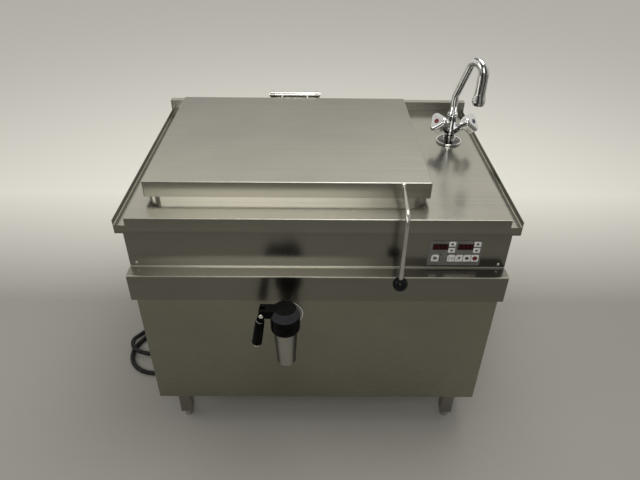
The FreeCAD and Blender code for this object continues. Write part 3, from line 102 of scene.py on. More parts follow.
air.links.new(lit.outputs[0], choose.inputs[1])
air.links.new(shown.outputs[0], choose.inputs[2])
air.links.new(choose.outputs[0], sky.inputs["Surface"])

for lamp_name, place, aim, size, power in (
        ("ceiling_panel", (0.5, 0.5, 3.4), (0.0, 0.1, 0.8), 2.0, 58.0),
        ("front_panel_light", (-0.5, -3.1, 2.9), (0.0, 0.0, 0.6), 2.2, 36.0),
        ("left_panel_light", (-2.8, -0.6, 2.3), (-0.2, 0.0, 0.7), 1.4, 12.0)):
    lamp_data = bpy.data.lights.new(lamp_name, "AREA")
    lamp_data.shape = "SQUARE"
    lamp_data.size = size
    lamp_data.energy = power
    lamp_data.color = (1.0, 0.985, 0.95)
    lamp = bpy.data.objects.new(lamp_name, lamp_data)
    bpy.context.scene.collection.objects.link(lamp)
    lamp.location = place
    lamp.rotation_euler = (Vector(aim) - Vector(place)).to_track_quat("-Z", "Y").to_euler()

bpy.ops.object.select_all(action="DESELECT")
bpy.ops.mesh.primitive_plane_add(size=24.0, location=(0.0, 2.0, -0.0005))
floor = bpy.context.object
floor.name = "floor"
floor_paint = bpy.data.materials.new("pale_floor")
floor_paint.use_nodes = True
floor_shader = floor_paint.node_tree.nodes["Principled BSDF"]
floor_place = floor_paint.node_tree.nodes.new("ShaderNodeTexCoord")
floor_axes = floor_paint.node_tree.nodes.new("ShaderNodeSeparateXYZ")
# Out of view towards the front the floor darkens: a painted dark room for the steel's fronts to mirror.
floor_sweep = floor_paint.node_tree.nodes.new("ShaderNodeMapRange")
floor_sweep.inputs["From Min"].default_value = -4.2
floor_sweep.inputs["From Max"].default_value = -0.7
floor_tones = floor_paint.node_tree.nodes.new("ShaderNodeValToRGB")
floor_tones.color_ramp.elements.new(0.286)
floor_tones.color_ramp.elements.new(0.714)
floor_pale_and_painted_dark = ((0.20, 0.195, 0.178), (0.29, 0.282, 0.257), (0.29, 0.282, 0.257), (0.86, 0.845, 0.79))
for tone, colour in zip(floor_tones.color_ramp.elements, floor_pale_and_painted_dark):
    tone.color = (*colour, 1.0)
floor_paint.node_tree.links.new(floor_place.outputs["Object"], floor_axes.inputs[0])
floor_paint.node_tree.links.new(floor_axes.outputs["Y"], floor_sweep.inputs["Value"])
floor_paint.node_tree.links.new(floor_sweep.outputs["Result"], floor_tones.inputs["Fac"])
floor_paint.node_tree.links.new(floor_tones.outputs["Color"], floor_shader.inputs["Base Color"])
floor_shader.inputs["Roughness"].default_value = 0.75
floor.data.materials.append(floor_paint)

# Worktop and front ledge
# The deck, gutters, upstand and apron are one welded sheet of 2 mm stainless steel, ground along the
# front with a fine belt. The ledge below the apron is a folded channel of the same sheet.
def link(tree, source, target):
    """Joins one node's output to another's input."""
    tree.links.new(source, target)


def marks(tree, scale, detail=2.0, roughness=0.5):
    """Noise in the object's own metres, stretched by the three scales."""
    place = tree.nodes.new("ShaderNodeTexCoord")
    stretch = tree.nodes.new("ShaderNodeMapping")
    stretch.inputs["Scale"].default_value = scale
    noise = tree.nodes.new("ShaderNodeTexNoise")
    noise.inputs["Scale"].default_value = 1.0
    noise.inputs["Detail"].default_value = detail
    noise.inputs["Roughness"].default_value = roughness
    link(tree, place.outputs["Object"], stretch.inputs["Vector"])
    link(tree, stretch.outputs["Vector"], noise.inputs["Vector"])
    return noise.outputs["Fac"]


def weighed(tree, parts):
    """Sum of several marks, each times its share."""
    total = None
    for source, share in parts:
        step = tree.nodes.new("ShaderNodeMath")
        step.operation = "MULTIPLY_ADD"
        step.inputs[1].default_value = share
        step.inputs[2].default_value = 0.0
        link(tree, source, step.inputs[0])
        if total is not None:
            link(tree, total, step.inputs[2])
        total = step.outputs[0]
    return total


def shades(tree, source, stops):
    """Colours along a mark, as (position, colour) pairs."""
    ramp = tree.nodes.new("ShaderNodeValToRGB")
    steps = ramp.color_ramp.elements
    while len(steps) < len(stops):
        steps.new(0.5)
    while len(steps) > len(stops):
        steps.remove(steps[-1])
    for step, (position, colour) in zip(steps, stops):
        step.position = position
        step.color = (*colour, 1.0)
    link(tree, source, ramp.inputs["Fac"])
    return ramp.outputs["Color"]


def shades_of(tree, source, tint, darkest, lightest, stops):
    """A tint that a mark darkens and lightens, with the mark's values for dark, plain and light."""
    tones = ([darkest * c for c in tint], tint, [min(1.0, lightest * c) for c in tint])
    return shades(tree, source, tuple(zip(stops, tones)))


def between(tree, source, low, high, start=0.3, end=0.7):
    """A number that runs from low to high as a mark runs from start to end."""
    span = tree.nodes.new("ShaderNodeMapRange")
    span.inputs["From Min"].default_value = start
    span.inputs["From Max"].default_value = end
    span.inputs["To Min"].default_value = low
    span.inputs["To Max"].default_value = high
    link(tree, source, span.inputs["Value"])
    return span.outputs["Result"]


def relief(tree, source, depth, strength, shader):
    """Raises a surface by a mark, depth being its full height in metres."""
    bump = tree.nodes.new("ShaderNodeBump")
    bump.inputs["Strength"].default_value = strength
    bump.inputs["Distance"].default_value = depth
    link(tree, source, bump.inputs["Height"])
    link(tree, bump.outputs["Normal"], shader.inputs["Normal"])


def new_finish(name, metal=0.0):
    """A new material with its node tree and its shader."""
    finish = bpy.data.materials.new(name)
    finish.use_nodes = True
    shader = finish.node_tree.nodes["Principled BSDF"]
    shader.inputs["Metallic"].default_value = metal
    return finish, finish.node_tree, shader


def blended(tree, factor, first, second, how="MIX"):
    """Two colours mixed, multiplied or added; each is a socket or three numbers."""
    mix = tree.nodes.new("ShaderNodeMix")
    mix.data_type = "RGBA"
    mix.blend_type = how
    if isinstance(factor, float):
        mix.inputs[0].default_value = factor
    else:
        link(tree, factor, mix.inputs[0])
    for colour, socket in ((first, mix.inputs[6]), (second, mix.inputs[7])):
        if isinstance(colour, tuple):
            socket.default_value = (*colour, 1.0)
        else:
            link(tree, colour, socket)
    return mix.outputs[2]


def tones_by_height(tree, height, stops):
    """Tone of a face by its height in metres, from 0.70 to 0.90, as (height, tone) pairs."""
    lowest, highest = 0.70, 0.90
    spots = [((at - lowest) / (highest - lowest), (tone, tone * 0.995, tone * 0.95)) for at, tone in stops]
    return shades(tree, between(tree, height, 0.0, 1.0, lowest, highest), spots)


def ground_steel(name, tint, along, roughness, wiped=0.40, depth=0.00006, upright=((0.8, 1.0),),
                 inside=((0.8, 0.9),), front_to_back=((0.0, 1.0),), level_from=0.876):
    """Stainless sheet ground along one axis: fine scratches, faint bands and soft clouds of wiping.

    Upright and inside are painted light and shade by height, multiplied into the grain: upright for faces
    that look to the front or back, inside for faces that look to the side between the two gutters' outer
    walls;
    other sideways faces get a painted shade of 0.9. Front_to_back is painted light on level faces by their
    place, from the front at -0.38 to the back at 0.45. Above level_from every face counts as level, so that
    the worktop's folded edge gets the worktop's painted light.
    """
    front_end, back_end = -0.38, 0.45
    gutter_wall = 0.5985
    steel, tree, shader = new_finish(name, 1.0)
    fine = [5.0 if axis == along else 1300.0 for axis in "XYZ"]
    wide = [0.9 if axis == along else 240.0 for axis in "XYZ"]
    scratches = marks(tree, fine, 2.0)
    bands = marks(tree, wide, 3.0)
    clouds = marks(tree, (2.6, 2.6, 2.6), 4.0, 0.55)
    rest = 1.0 - wiped
    mixed = weighed(tree, ((scratches, 0.55 * rest), (bands, 0.45 * rest), (clouds, wiped)))
    place = tree.nodes.new("ShaderNodeTexCoord")
    turned_to = tree.nodes.new("ShaderNodeSeparateXYZ")
    stands_at = tree.nodes.new("ShaderNodeSeparateXYZ")
    flat = tree.nodes.new("ShaderNodeMath")
    flat.operation = "MAXIMUM"
    link(tree, place.outputs["Normal"], turned_to.inputs[0])
    link(tree, place.outputs["Object"], stands_at.inputs[0])
    link(tree, between(tree, turned_to.outputs["Z"], 0.0, 1.0, 0.2, 0.8), flat.inputs[0])
    link(tree, between(tree, stands_at.outputs["Z"], 0.0, 1.0, level_from, level_from + 0.006),
         flat.inputs[1])
    sideways = tree.nodes.new("ShaderNodeMath")
    sideways.operation = "ABSOLUTE"
    off_middle = tree.nodes.new("ShaderNodeMath")
    off_middle.operation = "ABSOLUTE"
    link(tree, turned_to.outputs["X"], sideways.inputs[0])
    link(tree, stands_at.outputs["X"], off_middle.inputs[0])
    # Painted light and shade: tones by facing, height and place that multiply the grain's colour.
    level = shades(tree, between(tree, stands_at.outputs["Y"], 0.0, 1.0, front_end, back_end),
                   [((at - front_end) / (back_end - front_end), (tone, tone, tone))
                    for at, tone in front_to_back])
    front_painted_light = blended(tree, flat.outputs[0], tones_by_height(tree, stands_at.outputs["Z"], upright), level)
    sides = blended(tree, between(tree, off_middle.outputs[0], 0.0, 1.0, gutter_wall, gutter_wall + 0.001),
                    tones_by_height(tree, stands_at.outputs["Z"], inside), (0.9, 0.9, 0.9))
    facing_painted_light = blended(tree, between(tree, sideways.outputs[0], 0.0, 1.0, 0.5, 0.8), front_painted_light, sides)
    grain = shades_of(tree, mixed, tint, 0.88, 1.10, (0.34, 0.5, 0.66))
    link(tree, blended(tree, 1.0, grain, facing_painted_light, "MULTIPLY"), shader.inputs["Base Color"])
    link(tree, between(tree, mixed, 0.85 * roughness, 1.20 * roughness), shader.inputs["Roughness"])
    relief(tree, scratches, depth, 0.35, shader)
    return steel


def dress(finish, *nodes):
    """Gives a finish to CAD nodes."""
    for node in nodes:
        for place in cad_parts[node].material_slots:
            place.material = finish


def settle(piece, name, body, finish, smooth_angle=35.0):
    """Puts a finished mesh at the origin, gives it its finish and body."""
    bpy.ops.object.select_all(action="DESELECT")
    piece.select_set(True)
    bpy.context.view_layer.objects.active = piece
    bpy.ops.object.transform_apply(location=True, rotation=True, scale=True)
    bpy.ops.object.mode_set(mode="EDIT")
    bpy.ops.mesh.select_all(action="SELECT")
    bpy.ops.mesh.normals_make_consistent(inside=False)
    bpy.ops.object.mode_set(mode="OBJECT")
    bpy.ops.object.shade_smooth_by_angle(angle=math.radians(smooth_angle))
    piece.name = name
    piece.data.name = name
    piece.data.materials.clear()
    piece.data.materials.append(finish)
    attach(piece, body)
    return piece


def end_face(piece, direction):
    """Leaves only the face selected that lies furthest along a world direction."""
    bpy.ops.object.mode_set(mode="EDIT")
    bpy.ops.mesh.select_all(action="DESELECT")
    bpy.ops.object.mode_set(mode="OBJECT")
    along = Vector(direction)
    furthest = max(piece.data.polygons, key=lambda face: (piece.matrix_world @ face.center).dot(along))
    furthest.select = True
    bpy.ops.object.mode_set(mode="EDIT")


# Painted light and shade: the apron and other front faces darker than the deck, in bands by height; a
# painted highlight along the gutters' folds and the walls' top edges, with painted shade on the walls
# between; the ledge's top darker as a painted reflection of the apron; the deck lighter towards the front.
worktop_steel = ground_steel(
    "worktop_steel", (0.47, 0.46, 0.415), "X", 0.22,
    upright=((0.701, 0.46), (0.703, 0.46), (0.706, 0.42), (0.780, 0.53), (0.8340, 0.49), (0.8352, 0.61),
             (0.876, 0.58)),
    inside=((0.8540, 1.0), (0.8556, 2.0), (0.8580, 1.6), (0.8590, 0.16), (0.8655, 0.16), (0.8662, 0.34),
            (0.8682, 0.30), (0.8690, 0.12)),
    front_to_back=((-0.334, 0.62), (-0.330, 1.05), (-0.10, 1.10), (0.45, 0.97)))
dress(worktop_steel, "worktop", "front_ledge")


def rounded(piece, width, segments):
    """Rounds every sharp edge of a piece."""
    edges = piece.modifiers.new("rounded", "BEVEL")
    edges.width = width
    edges.segments = segments
    edges.limit_method = "ANGLE"
    bpy.context.view_layer.objects.active = piece
    bpy.ops.object.modifier_apply(modifier="rounded")
    return piece


def rolled_edge(name, half, front_y, low_z, thick, tall, rounding, finish):
    """A folded sheet's rounded edge across the front: a bar with its top drawn in and its edges rolled."""
    straight = 0.84 * tall
    drawn_in = 0.12 * thick
    bpy.ops.object.select_all(action="DESELECT")
    bpy.ops.mesh.primitive_cube_add(size=1.0, location=(0.0, front_y + thick / 2.0, low_z + straight / 2.0))
    fold = bpy.context.object
    fold.scale = (2.0 * half, thick, straight)
    bpy.ops.object.transform_apply(location=False, rotation=False, scale=True)
    end_face(fold, (0.0, 0.0, 1.0))
    bpy.ops.mesh.extrude_region_move(TRANSFORM_OT_translate={"value": (0.0, drawn_in, tall - straight)})
    bpy.ops.object.mode_set(mode="OBJECT")
    return settle(rounded(fold, rounding, 5), name, "base", finish)


# The hem steel is lighter than the worktop's: a painted highlight along the rolled edges of the apron and
# the ledge.
hem_steel_painted_highlight = ground_steel("hem_steel_painted_highlight", (0.60, 0.59, 0.54), "X", 0.30)
rolled_edge("apron_hem", 0.5754, -0.3306, 0.7040, 0.0034, 0.0054, 0.0014, hem_steel_painted_highlight)
ledge_low, ledge_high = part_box("front_ledge")
rolled_edge("ledge_fold", ledge_high[0] - 0.0002, ledge_low[1] - 0.0004, ledge_high[2] - 0.0030,
            0.0032, 0.0036, 0.0013, hem_steel_painted_highlight)

# Cabinet panels
# The lower front panel and the sides are thinner stainless sheet, the front ground sideways and the
# sides front to back. The back is plain mill sheet with punched air slots.
# The front panel's tint, darker than the worktop's, is painted shade: the dark room that the front mirrors.
dress(ground_steel("front_panel_steel", (0.270, 0.262, 0.225), "X", 0.25, wiped=0.5), "lower_front_panel")
side_steel = ground_steel("side_panel_steel", (0.30, 0.292, 0.265), "Y", 0.26)
dress(side_steel, "left_side_panel", "right_side_panel")


def mill_sheet(name, tint, roughness):
    """Unground sheet as rolled: a dull even skin with faint clouds and specks."""
    sheet, tree, shader = new_finish(name, 1.0)
    clouds = marks(tree, (9.0, 9.0, 9.0), 6.0, 0.65)
    specks = marks(tree, (420.0, 420.0, 420.0), 1.0)
    mixed = weighed(tree, ((clouds, 0.7), (specks, 0.3)))
    link(tree, shades_of(tree, mixed, tint, 0.78, 1.15, (0.35, 0.5, 0.66)), shader.inputs["Base Color"])
    link(tree, between(tree, mixed, 0.85 * roughness, 1.2 * roughness), shader.inputs["Roughness"])
    relief(tree, specks, 0.00005, 0.3, shader)
    return sheet


mill_steel = mill_sheet("mill_steel", (0.50, 0.49, 0.46), 0.36)
dress(mill_steel, "rear_panel", "base_plate")

# Base frame, uprights and feet
# Square stainless tube welded into a ladder with four legs, tube uprights that carry the worktop and the
# pan, and screwed hexagon feet under the legs.
dress(ground_steel("frame_tube_steel", (0.26, 0.252, 0.23), "Z", 0.28), "base_frame", "frame_uprights")


def turned_steel(name, tint, roughness, pitch):
    """Turned bar: fine rings across the piece's height, pitch metres apart."""
    wave_turn = 20.0
    bar, tree, shader = new_finish(name, 1.0)
    place = tree.nodes.new("ShaderNodeTexCoord")
    rings = tree.nodes.new("ShaderNodeTexWave")
    rings.bands_direction = "Z"
    rings.inputs["Scale"].default_value = math.tau / (wave_turn * pitch)
    rings.inputs["Distortion"].default_value = 0.4
    rings.inputs["Detail"].default_value = 1.0
    link(tree, place.outputs["Object"], rings.inputs["Vector"])
    rubbed = marks(tree, (60.0, 60.0, 60.0), 4.0, 0.6)
    mixed = weighed(tree, ((rings.outputs["Fac"], 0.25), (rubbed, 0.75)))
    link(tree, shades_of(tree, mixed, tint, 0.75, 1.15, (0.30, 0.5, 0.70)), shader.inputs["Base Color"])
    link(tree, between(tree, rubbed, 0.75 * roughness, 1.35 * roughness), shader.inputs["Roughness"])
    relief(tree, rings.outputs["Fac"], 0.00005, 0.4, shader)
    return bar


foot_steel = turned_steel("foot_steel", (0.52, 0.51, 0.48), 0.30, 0.0024)
dress(foot_steel, "levelling_feet")

# Pan, heaters and insulation
# The pan is deep-drawn and welded stainless steel with a satin inside. Under its floor an aluminium
# plate spreads the heat of sheathed hairpin heaters, and mineral wool surrounds it all.
def satin_steel(name, tint, roughness, stain):
    """Blasted satin steel with soft tide marks left by cooking."""
    satin, tree, shader = new_finish(name, 1.0)
    grain = marks(tree, (700.0, 700.0, 700.0), 2.0)
    tides = marks(tree, (5.0, 5.0, 16.0), 6.0, 0.7)
    mixed = weighed(tree, ((grain, 0.4), (tides, 0.6)))
    link(tree, shades(tree, mixed, ((0.34, stain), (0.48, tint), (0.7, [min(1.0, 1.12 * c) for c in tint]))),
         shader.inputs["Base Color"])
    link(tree, between(tree, mixed, 0.8 * roughness, 1.3 * roughness), shader.inputs["Roughness"])
    relief(tree, grain, 0.00008, 0.4, shader)
    return satin


pan_steel = satin_steel("pan_steel", (0.50, 0.48, 0.44), 0.34, (0.37, 0.33, 0.27))
dress(pan_steel, "pan_vessel", "lid_inner_tray", "pan_strainer")
dress(ground_steel("spreader_aluminium", (0.70, 0.70, 0.71), "X", 0.36), "pan_bottom_plate")
dress(mill_sheet("clamp_steel", (0.34, 0.33, 0.31), 0.42), "element_clamp")

heater_sheath, tree, shader = new_finish("heater_sheath", 1.0)
scale_marks = marks(tree, (55.0, 55.0, 55.0), 6.0, 0.7)
link(tree, shades(tree, scale_marks, ((0.34, (0.045, 0.034, 0.030)), (0.5, (0.13, 0.10, 0.085)),
                                      (0.66, (0.20, 0.19, 0.21)))), shader.inputs["Base Color"])
link(tree, between(tree, scale_marks, 0.62, 0.38), shader.inputs["Roughness"])
relief(tree, scale_marks, 0.0002, 0.4, shader)
dress(heater_sheath, "heating_elements")

wool, tree, shader = new_finish("mineral_wool")
fibres = marks(tree, (260.0, 900.0, 900.0), 4.0, 0.7)
tufts = marks(tree, (38.0, 38.0, 38.0), 5.0, 0.6)
matted = weighed(tree, ((fibres, 0.5), (tufts, 0.5)))
link(tree, shades(tree, matted, ((0.33, (0.30, 0.25, 0.13)), (0.5, (0.55, 0.47, 0.27)),
                                 (0.68, (0.74, 0.67, 0.45)))), shader.inputs["Base Color"])
shader.inputs["Roughness"].default_value = 0.95
shader.inputs["Sheen Weight"].default_value = 0.2
relief(tree, matted, 0.003, 0.8, shader)
dress(wool, "pan_insulation")

# Lid and seal
# A folded stainless hood ground along the front, with a drawn tray inside to catch the condensate and
# a soft silicone seal that rests on the pan's rim.
# Painted light and shade: the lid's front and back faces darker, its top lighter towards the front and
# darker towards the back.
dress(ground_steel("lid_steel", (0.46, 0.45, 0.41), "X", 0.22, upright=((0.8, 0.74),),
                   front_to_back=((-0.25, 1.16), (0.40, 0.74)), level_from=2.0), "lid_shell")
seal_rubber, tree, shader = new_finish("seal_silicone")
chalk = marks(tree, (70.0, 70.0, 70.0), 5.0, 0.6)
link(tree, shades(tree, chalk, ((0.35, (0.50, 0.485, 0.45)), (0.5, (0.62, 0.61, 0.58)),
                                (0.66, (0.70, 0.69, 0.66)))), shader.inputs["Base Color"])
link(tree, between(tree, chalk, 0.46, 0.62), shader.inputs["Roughness"])
relief(tree, chalk, 0.0002, 0.3, shader)
dress(seal_rubber, "lid_seal")

# Lid hinge
# A tube with two arms on the lid's rear skirt turns on a fixed shaft between two brackets on the deck,
# and a coil spring inside the tube balances the lid.
bright_steel = ground_steel("bright_bar_steel", (0.62, 0.61, 0.58), "X", 0.18, depth=0.00003)
dress(bright_steel, "lid_hinge_barrel", "hinge_shaft")
dress(ground_steel("bracket_steel", (0.44, 0.43, 0.40), "X", 0.26), "hinge_brackets")
spring_steel, tree, shader = new_finish("spring_steel", 1.0)
oil = marks(tree, (90.0, 90.0, 90.0), 4.0, 0.6)
link(tree, shades(tree, oil, ((0.35, (0.09, 0.085, 0.08)), (0.65, (0.24, 0.23, 0.22)))),
     shader.inputs["Base Color"])
link(tree, between(tree, oil, 0.24, 0.42), shader.inputs["Roughness"])
dress(spring_steel, "hinge_spring")

# Lever, rosette and ball
# A tapered steel rod runs forward from the lid's skirt and down in front of the apron, with a round
# cover at its root and a black moulded ball for the hand.
def drawn_steel(name, tint, roughness):
    """Polished bar with faint lines along it and rubbed patches."""
    bar, tree, shader = new_finish(name, 1.0)
    lines = marks(tree, (900.0, 900.0, 14.0), 2.0)
    rubbed = marks(tree, (24.0, 24.0, 24.0), 4.0, 0.6)
    mixed = weighed(tree, ((lines, 0.5), (rubbed, 0.5)))
    link(tree, shades_of(tree, mixed, tint, 0.82, 1.12, (0.33, 0.5, 0.67)), shader.inputs["Base Color"])
    link(tree, between(tree, mixed, 0.75 * roughness, 1.35 * roughness), shader.inputs["Roughness"])
    return bar


def moulded_plastic(name, tint, roughness, dust):
    """Dark moulding: a fine skin, with dust and handling that dull it in patches."""
    plastic, tree, shader = new_finish(name)
    skin = marks(tree, (1100.0, 1100.0, 1100.0), 2.0)
    handled = marks(tree, (42.0, 42.0, 42.0), 5.0, 0.65)
    link(tree, shades(tree, handled, ((0.38, tint), (0.70, dust))), shader.inputs["Base Color"])
    link(tree, between(tree, handled, 0.8 * roughness, 1.6 * roughness), shader.inputs["Roughness"])
    shader.inputs["Specular IOR Level"].default_value = 0.12
    relief(tree, skin, 0.00004, 0.25, shader)
    return plastic


rod_steel = drawn_steel("rod_steel", (0.58, 0.57, 0.54), 0.20)
dress(rod_steel, "lever_rod", "lever_escutcheon", "grip_pin")
ball_plastic = moulded_plastic("ball_plastic", (0.004, 0.004, 0.005), 0.15, (0.012, 0.012, 0.012))
dress(ball_plastic, "lever_ball")

# Mixer tap
# A two-handle chrome-plated mixer with a swivelling swan-neck spout, an aerator with a ring of jets, and
# plated supply pipes down to the threaded tails at the back.
def chrome(name, tint, painted_reflection_stops, underside_shade):
    """Chrome with water marks, painted reflections in streaks by how far a face looks to the right, and
    painted shade on faces that look down.
    """
    plate, tree, shader = new_finish(name, 1.0)
    water_marks = marks(tree, (75.0, 75.0, 75.0), 5.0, 0.65)
    ripple = marks(tree, (26.0, 26.0, 26.0), 3.0, 0.6)
    place = tree.nodes.new("ShaderNodeTexCoord")
    turned_to = tree.nodes.new("ShaderNodeSeparateXYZ")
    link(tree, place.outputs["Normal"], turned_to.inputs[0])
    bent = weighed(tree, ((turned_to.outputs["X"], 0.5), (ripple, 0.30)))
    painted_reflections = shades(tree, between(tree, bent, 0.0, 1.0, -0.35, 0.65),
                        [(at, (tone, tone, tone)) for at, tone in painted_reflection_stops])
    painted_underside_shade = shades(tree, between(tree, turned_to.outputs["Z"], 0.0, 1.0, -0.6, 0.1),
                   ((0.0, (underside_shade, underside_shade, underside_shade)), (1.0, (1.0, 1.0, 1.0))))
    bright = [min(1.0, 1.12 * c) for c in tint]
    plain = shades(tree, water_marks, ((0.35, tint), (0.6, bright)))
    toned = blended(tree, 1.0, plain, painted_reflections, "MULTIPLY")
    link(tree, blended(tree, 1.0, toned, painted_underside_shade, "MULTIPLY"), shader.inputs["Base Color"])
    link(tree, between(tree, water_marks, 0.045, 0.13, 0.42, 0.72), shader.inputs["Roughness"])
    return plate


# Painted shade under both chromes; the tube chrome's streaks are painted reflections, dark and light.
chrome_plate = chrome("chrome_plate", (0.74, 0.75, 0.76), ((0.0, 1.0), (1.0, 1.0)), 0.22)
tube_chrome = chrome("tube_chrome", (0.80, 0.81, 0.82),
                     ((0.10, 0.95), (0.20, 1.0), (0.25, 0.10), (0.33, 0.16), (0.38, 0.85), (0.50, 1.0),
                      (0.55, 0.12), (0.60, 0.20), (0.66, 1.0), (0.80, 0.85), (1.0, 0.65)), 0.35)
dress(chrome_plate, "hot_knob", "cold_knob", "hot_supply_pipe", "cold_supply_pipe")
dress(tube_chrome, "mixer_body", "spout_nut", "mixer_spout", "spout_aerator")


def index_lacquer(name, tint):
    """Glossy coloured lacquer, a little faded in patches."""
    lacquer, tree, shader = new_finish(name)
    faded = marks(tree, (160.0, 160.0, 160.0), 4.0, 0.6)
    dark = [0.75 * c for c in tint]
    light = [min(1.0, 1.25 * c + 0.01) for c in tint]
    link(tree, shades(tree, faded, ((0.36, dark), (0.64, light))), shader.inputs["Base Color"])
    link(tree, between(tree, faded, 0.16, 0.30), shader.inputs["Roughness"])
    return lacquer


def bar_along(axis, centre, vertices, radius, length):
    """A round bar's blank whose length lies along an axis."""
    bpy.ops.object.select_all(action="DESELECT")
    bpy.ops.mesh.primitive_cylinder_add(vertices=vertices, radius=radius, depth=length, location=centre)
    bar = bpy.context.object
    bar.rotation_euler = Vector((0.0, 0.0, 1.0)).rotation_difference(Vector(axis)).to_euler()
    bpy.context.view_layer.update()
    return bar


def turned_ring(outer, inner, thickness, centre, axis, rounding):
    """A ring turned from bar: a cylinder's two inset ends bridged into a bore, then every edge rounded."""
    ring = bar_along(axis, centre, 72, outer, thickness)
    bpy.ops.object.mode_set(mode="EDIT")
    bpy.ops.mesh.select_mode(type="FACE")
    bpy.ops.mesh.select_all(action="DESELECT")
    bpy.ops.object.mode_set(mode="OBJECT")
    for face in ring.data.polygons:
        face.select = len(face.vertices) > 4
    bpy.ops.object.mode_set(mode="EDIT")
    bpy.ops.mesh.inset(thickness=outer - inner, depth=0.0)
    bpy.ops.mesh.bridge_edge_loops()
    bpy.ops.mesh.select_mode(type="VERT")
    bpy.ops.object.mode_set(mode="OBJECT")
    return rounded(ring, rounding, 4)


# Painted light on the mixer's flange: a dark tint as painted reflection of the dark body, and a bright rim
# as painted highlight.
dress(drawn_steel("flange_chrome_painted_shade", (0.13, 0.13, 0.13), 0.10), "mixer_flange")
flange_painted_highlight = drawn_steel("flange_painted_highlight", (0.86, 0.86, 0.86), 0.10)
upwards = (0.0, 0.0, 1.0)
mixer_x, mixer_y = 0.480, 0.202
knob_height, knob_reach = 0.038, 0.1034
settle(turned_ring(0.0458, 0.0412, 0.0072, (mixer_x, mixer_y, deck_height + 0.0044), upwards, 0.0020),
       "flange_rim", "base", flange_painted_highlight)
settle(turned_ring(0.0184, 0.0160, 0.0030, (mixer_x, mixer_y, deck_height + 0.1035), upwards, 0.0010),
       "nut_bead", "base", chrome_plate)
for side, knob, tint in ((-1, "hot_knob", (0.12, 0.005, 0.010)), (1, "cold_knob", (0.010, 0.012, 0.050))):
    axis = Vector((side * 0.63, -0.48, 0.61)).normalized()
    knob_end = Vector((mixer_x, mixer_y, deck_height + knob_height)) + axis * knob_reach
    disc = bar_along(axis, knob_end, 48, 0.0086, 0.0024)
    end_face(disc, axis)
    bpy.ops.mesh.bevel(offset=0.0007, segments=4, profile=0.6)
    bpy.ops.object.mode_set(mode="OBJECT")
    end_face(disc, axis)
    bpy.ops.mesh.inset(thickness=0.0014, depth=0.0)
    bpy.ops.transform.translate(value=axis * -0.0004)
    bpy.ops.object.mode_set(mode="OBJECT")
    settle(disc, knob + "_index", knob + "_body", index_lacquer(knob + "_lacquer", tint))

# Draw-off valve
# A tapered steel body turned from bar holds a conical plug, closed by a black heat-proof cap with a
# folding grip. The pipe passes the front panel through a polished rosette.
# Painted shade: the valve body's faces that look to the side are darker.
valve_body_steel = ground_steel("valve_body_steel", (0.38, 0.375, 0.36), "Z", 0.24, inside=((0.8, 0.30),))
dress(valve_body_steel, "drain_valve_body")
dress(turned_steel("plug_steel", (0.42, 0.40, 0.37), 0.34, 0.0020), "drain_plug")
dress(ground_steel("pipe_steel", (0.46, 0.45, 0.43), "Y", 0.26), "drain_pipe")
# The polished rosette and the grip's collar get a dark tint: painted shade of the dark surroundings they
# mirror.
rosette_shaded_steel = drawn_steel("rosette_shaded_steel", (0.22, 0.215, 0.20), 0.12)
dress(rosette_shaded_steel, "drain_rosette")
# Polished steel made lighter than steel is: partly its own shine, partly a painted highlight on the
# rosette's rim, the grip's tip and the pin's head.
polished_highlight_steel = drawn_steel("polished_highlight_steel", (0.88, 0.87, 0.85), 0.10)
valve_x, valve_y = -0.096, -0.478
settle(turned_ring(0.0503, 0.0462, 0.0034, (valve_x, -0.3793, 0.559), (0.0, -1.0, 0.0), 0.0013),
       "rosette_rim", "base", polished_highlight_steel)
cap_plastic = moulded_plastic("cap_plastic", (0.0008, 0.0008, 0.0010), 0.22, (0.0030, 0.0030, 0.0032))
cap_tree = cap_plastic.node_tree
cap_shader = cap_tree.nodes["Principled BSDF"]
cap_shader.inputs["Specular IOR Level"].default_value = 0.05
cap_place = cap_tree.nodes.new("ShaderNodeTexCoord")
cap_turned = cap_tree.nodes.new("ShaderNodeSeparateXYZ")
link(cap_tree, cap_place.outputs["Normal"], cap_turned.inputs[0])
# Painted highlight on the cap's bevel by how far its faces look up: a faint light band and a bright line
# above it.
painted_bevel_highlight = shades(cap_tree, cap_turned.outputs["Z"],
                      ((0.24, (0.0, 0.0, 0.0)), (0.36, (0.026, 0.026, 0.030)), (0.45, (0.034, 0.034, 0.038)),
                       (0.50, (0.42, 0.42, 0.42)), (0.58, (0.30, 0.30, 0.30)), (0.63, (0.0, 0.0, 0.0))))
cap_skin = cap_shader.inputs["Base Color"].links[0].from_socket
link(cap_tree, blended(cap_tree, 1.0, cap_skin, painted_bevel_highlight, "ADD"), cap_shader.inputs["Base Color"])
dress(cap_plastic, "drain_cap")
grip_plastic = moulded_plastic("grip_plastic", (0.0008, 0.0008, 0.0008), 0.22, (0.0030, 0.0030, 0.0030))
grip_plastic.node_tree.nodes["Principled BSDF"].inputs["Specular IOR Level"].default_value = 0.05
dress(grip_plastic, "drain_grip")

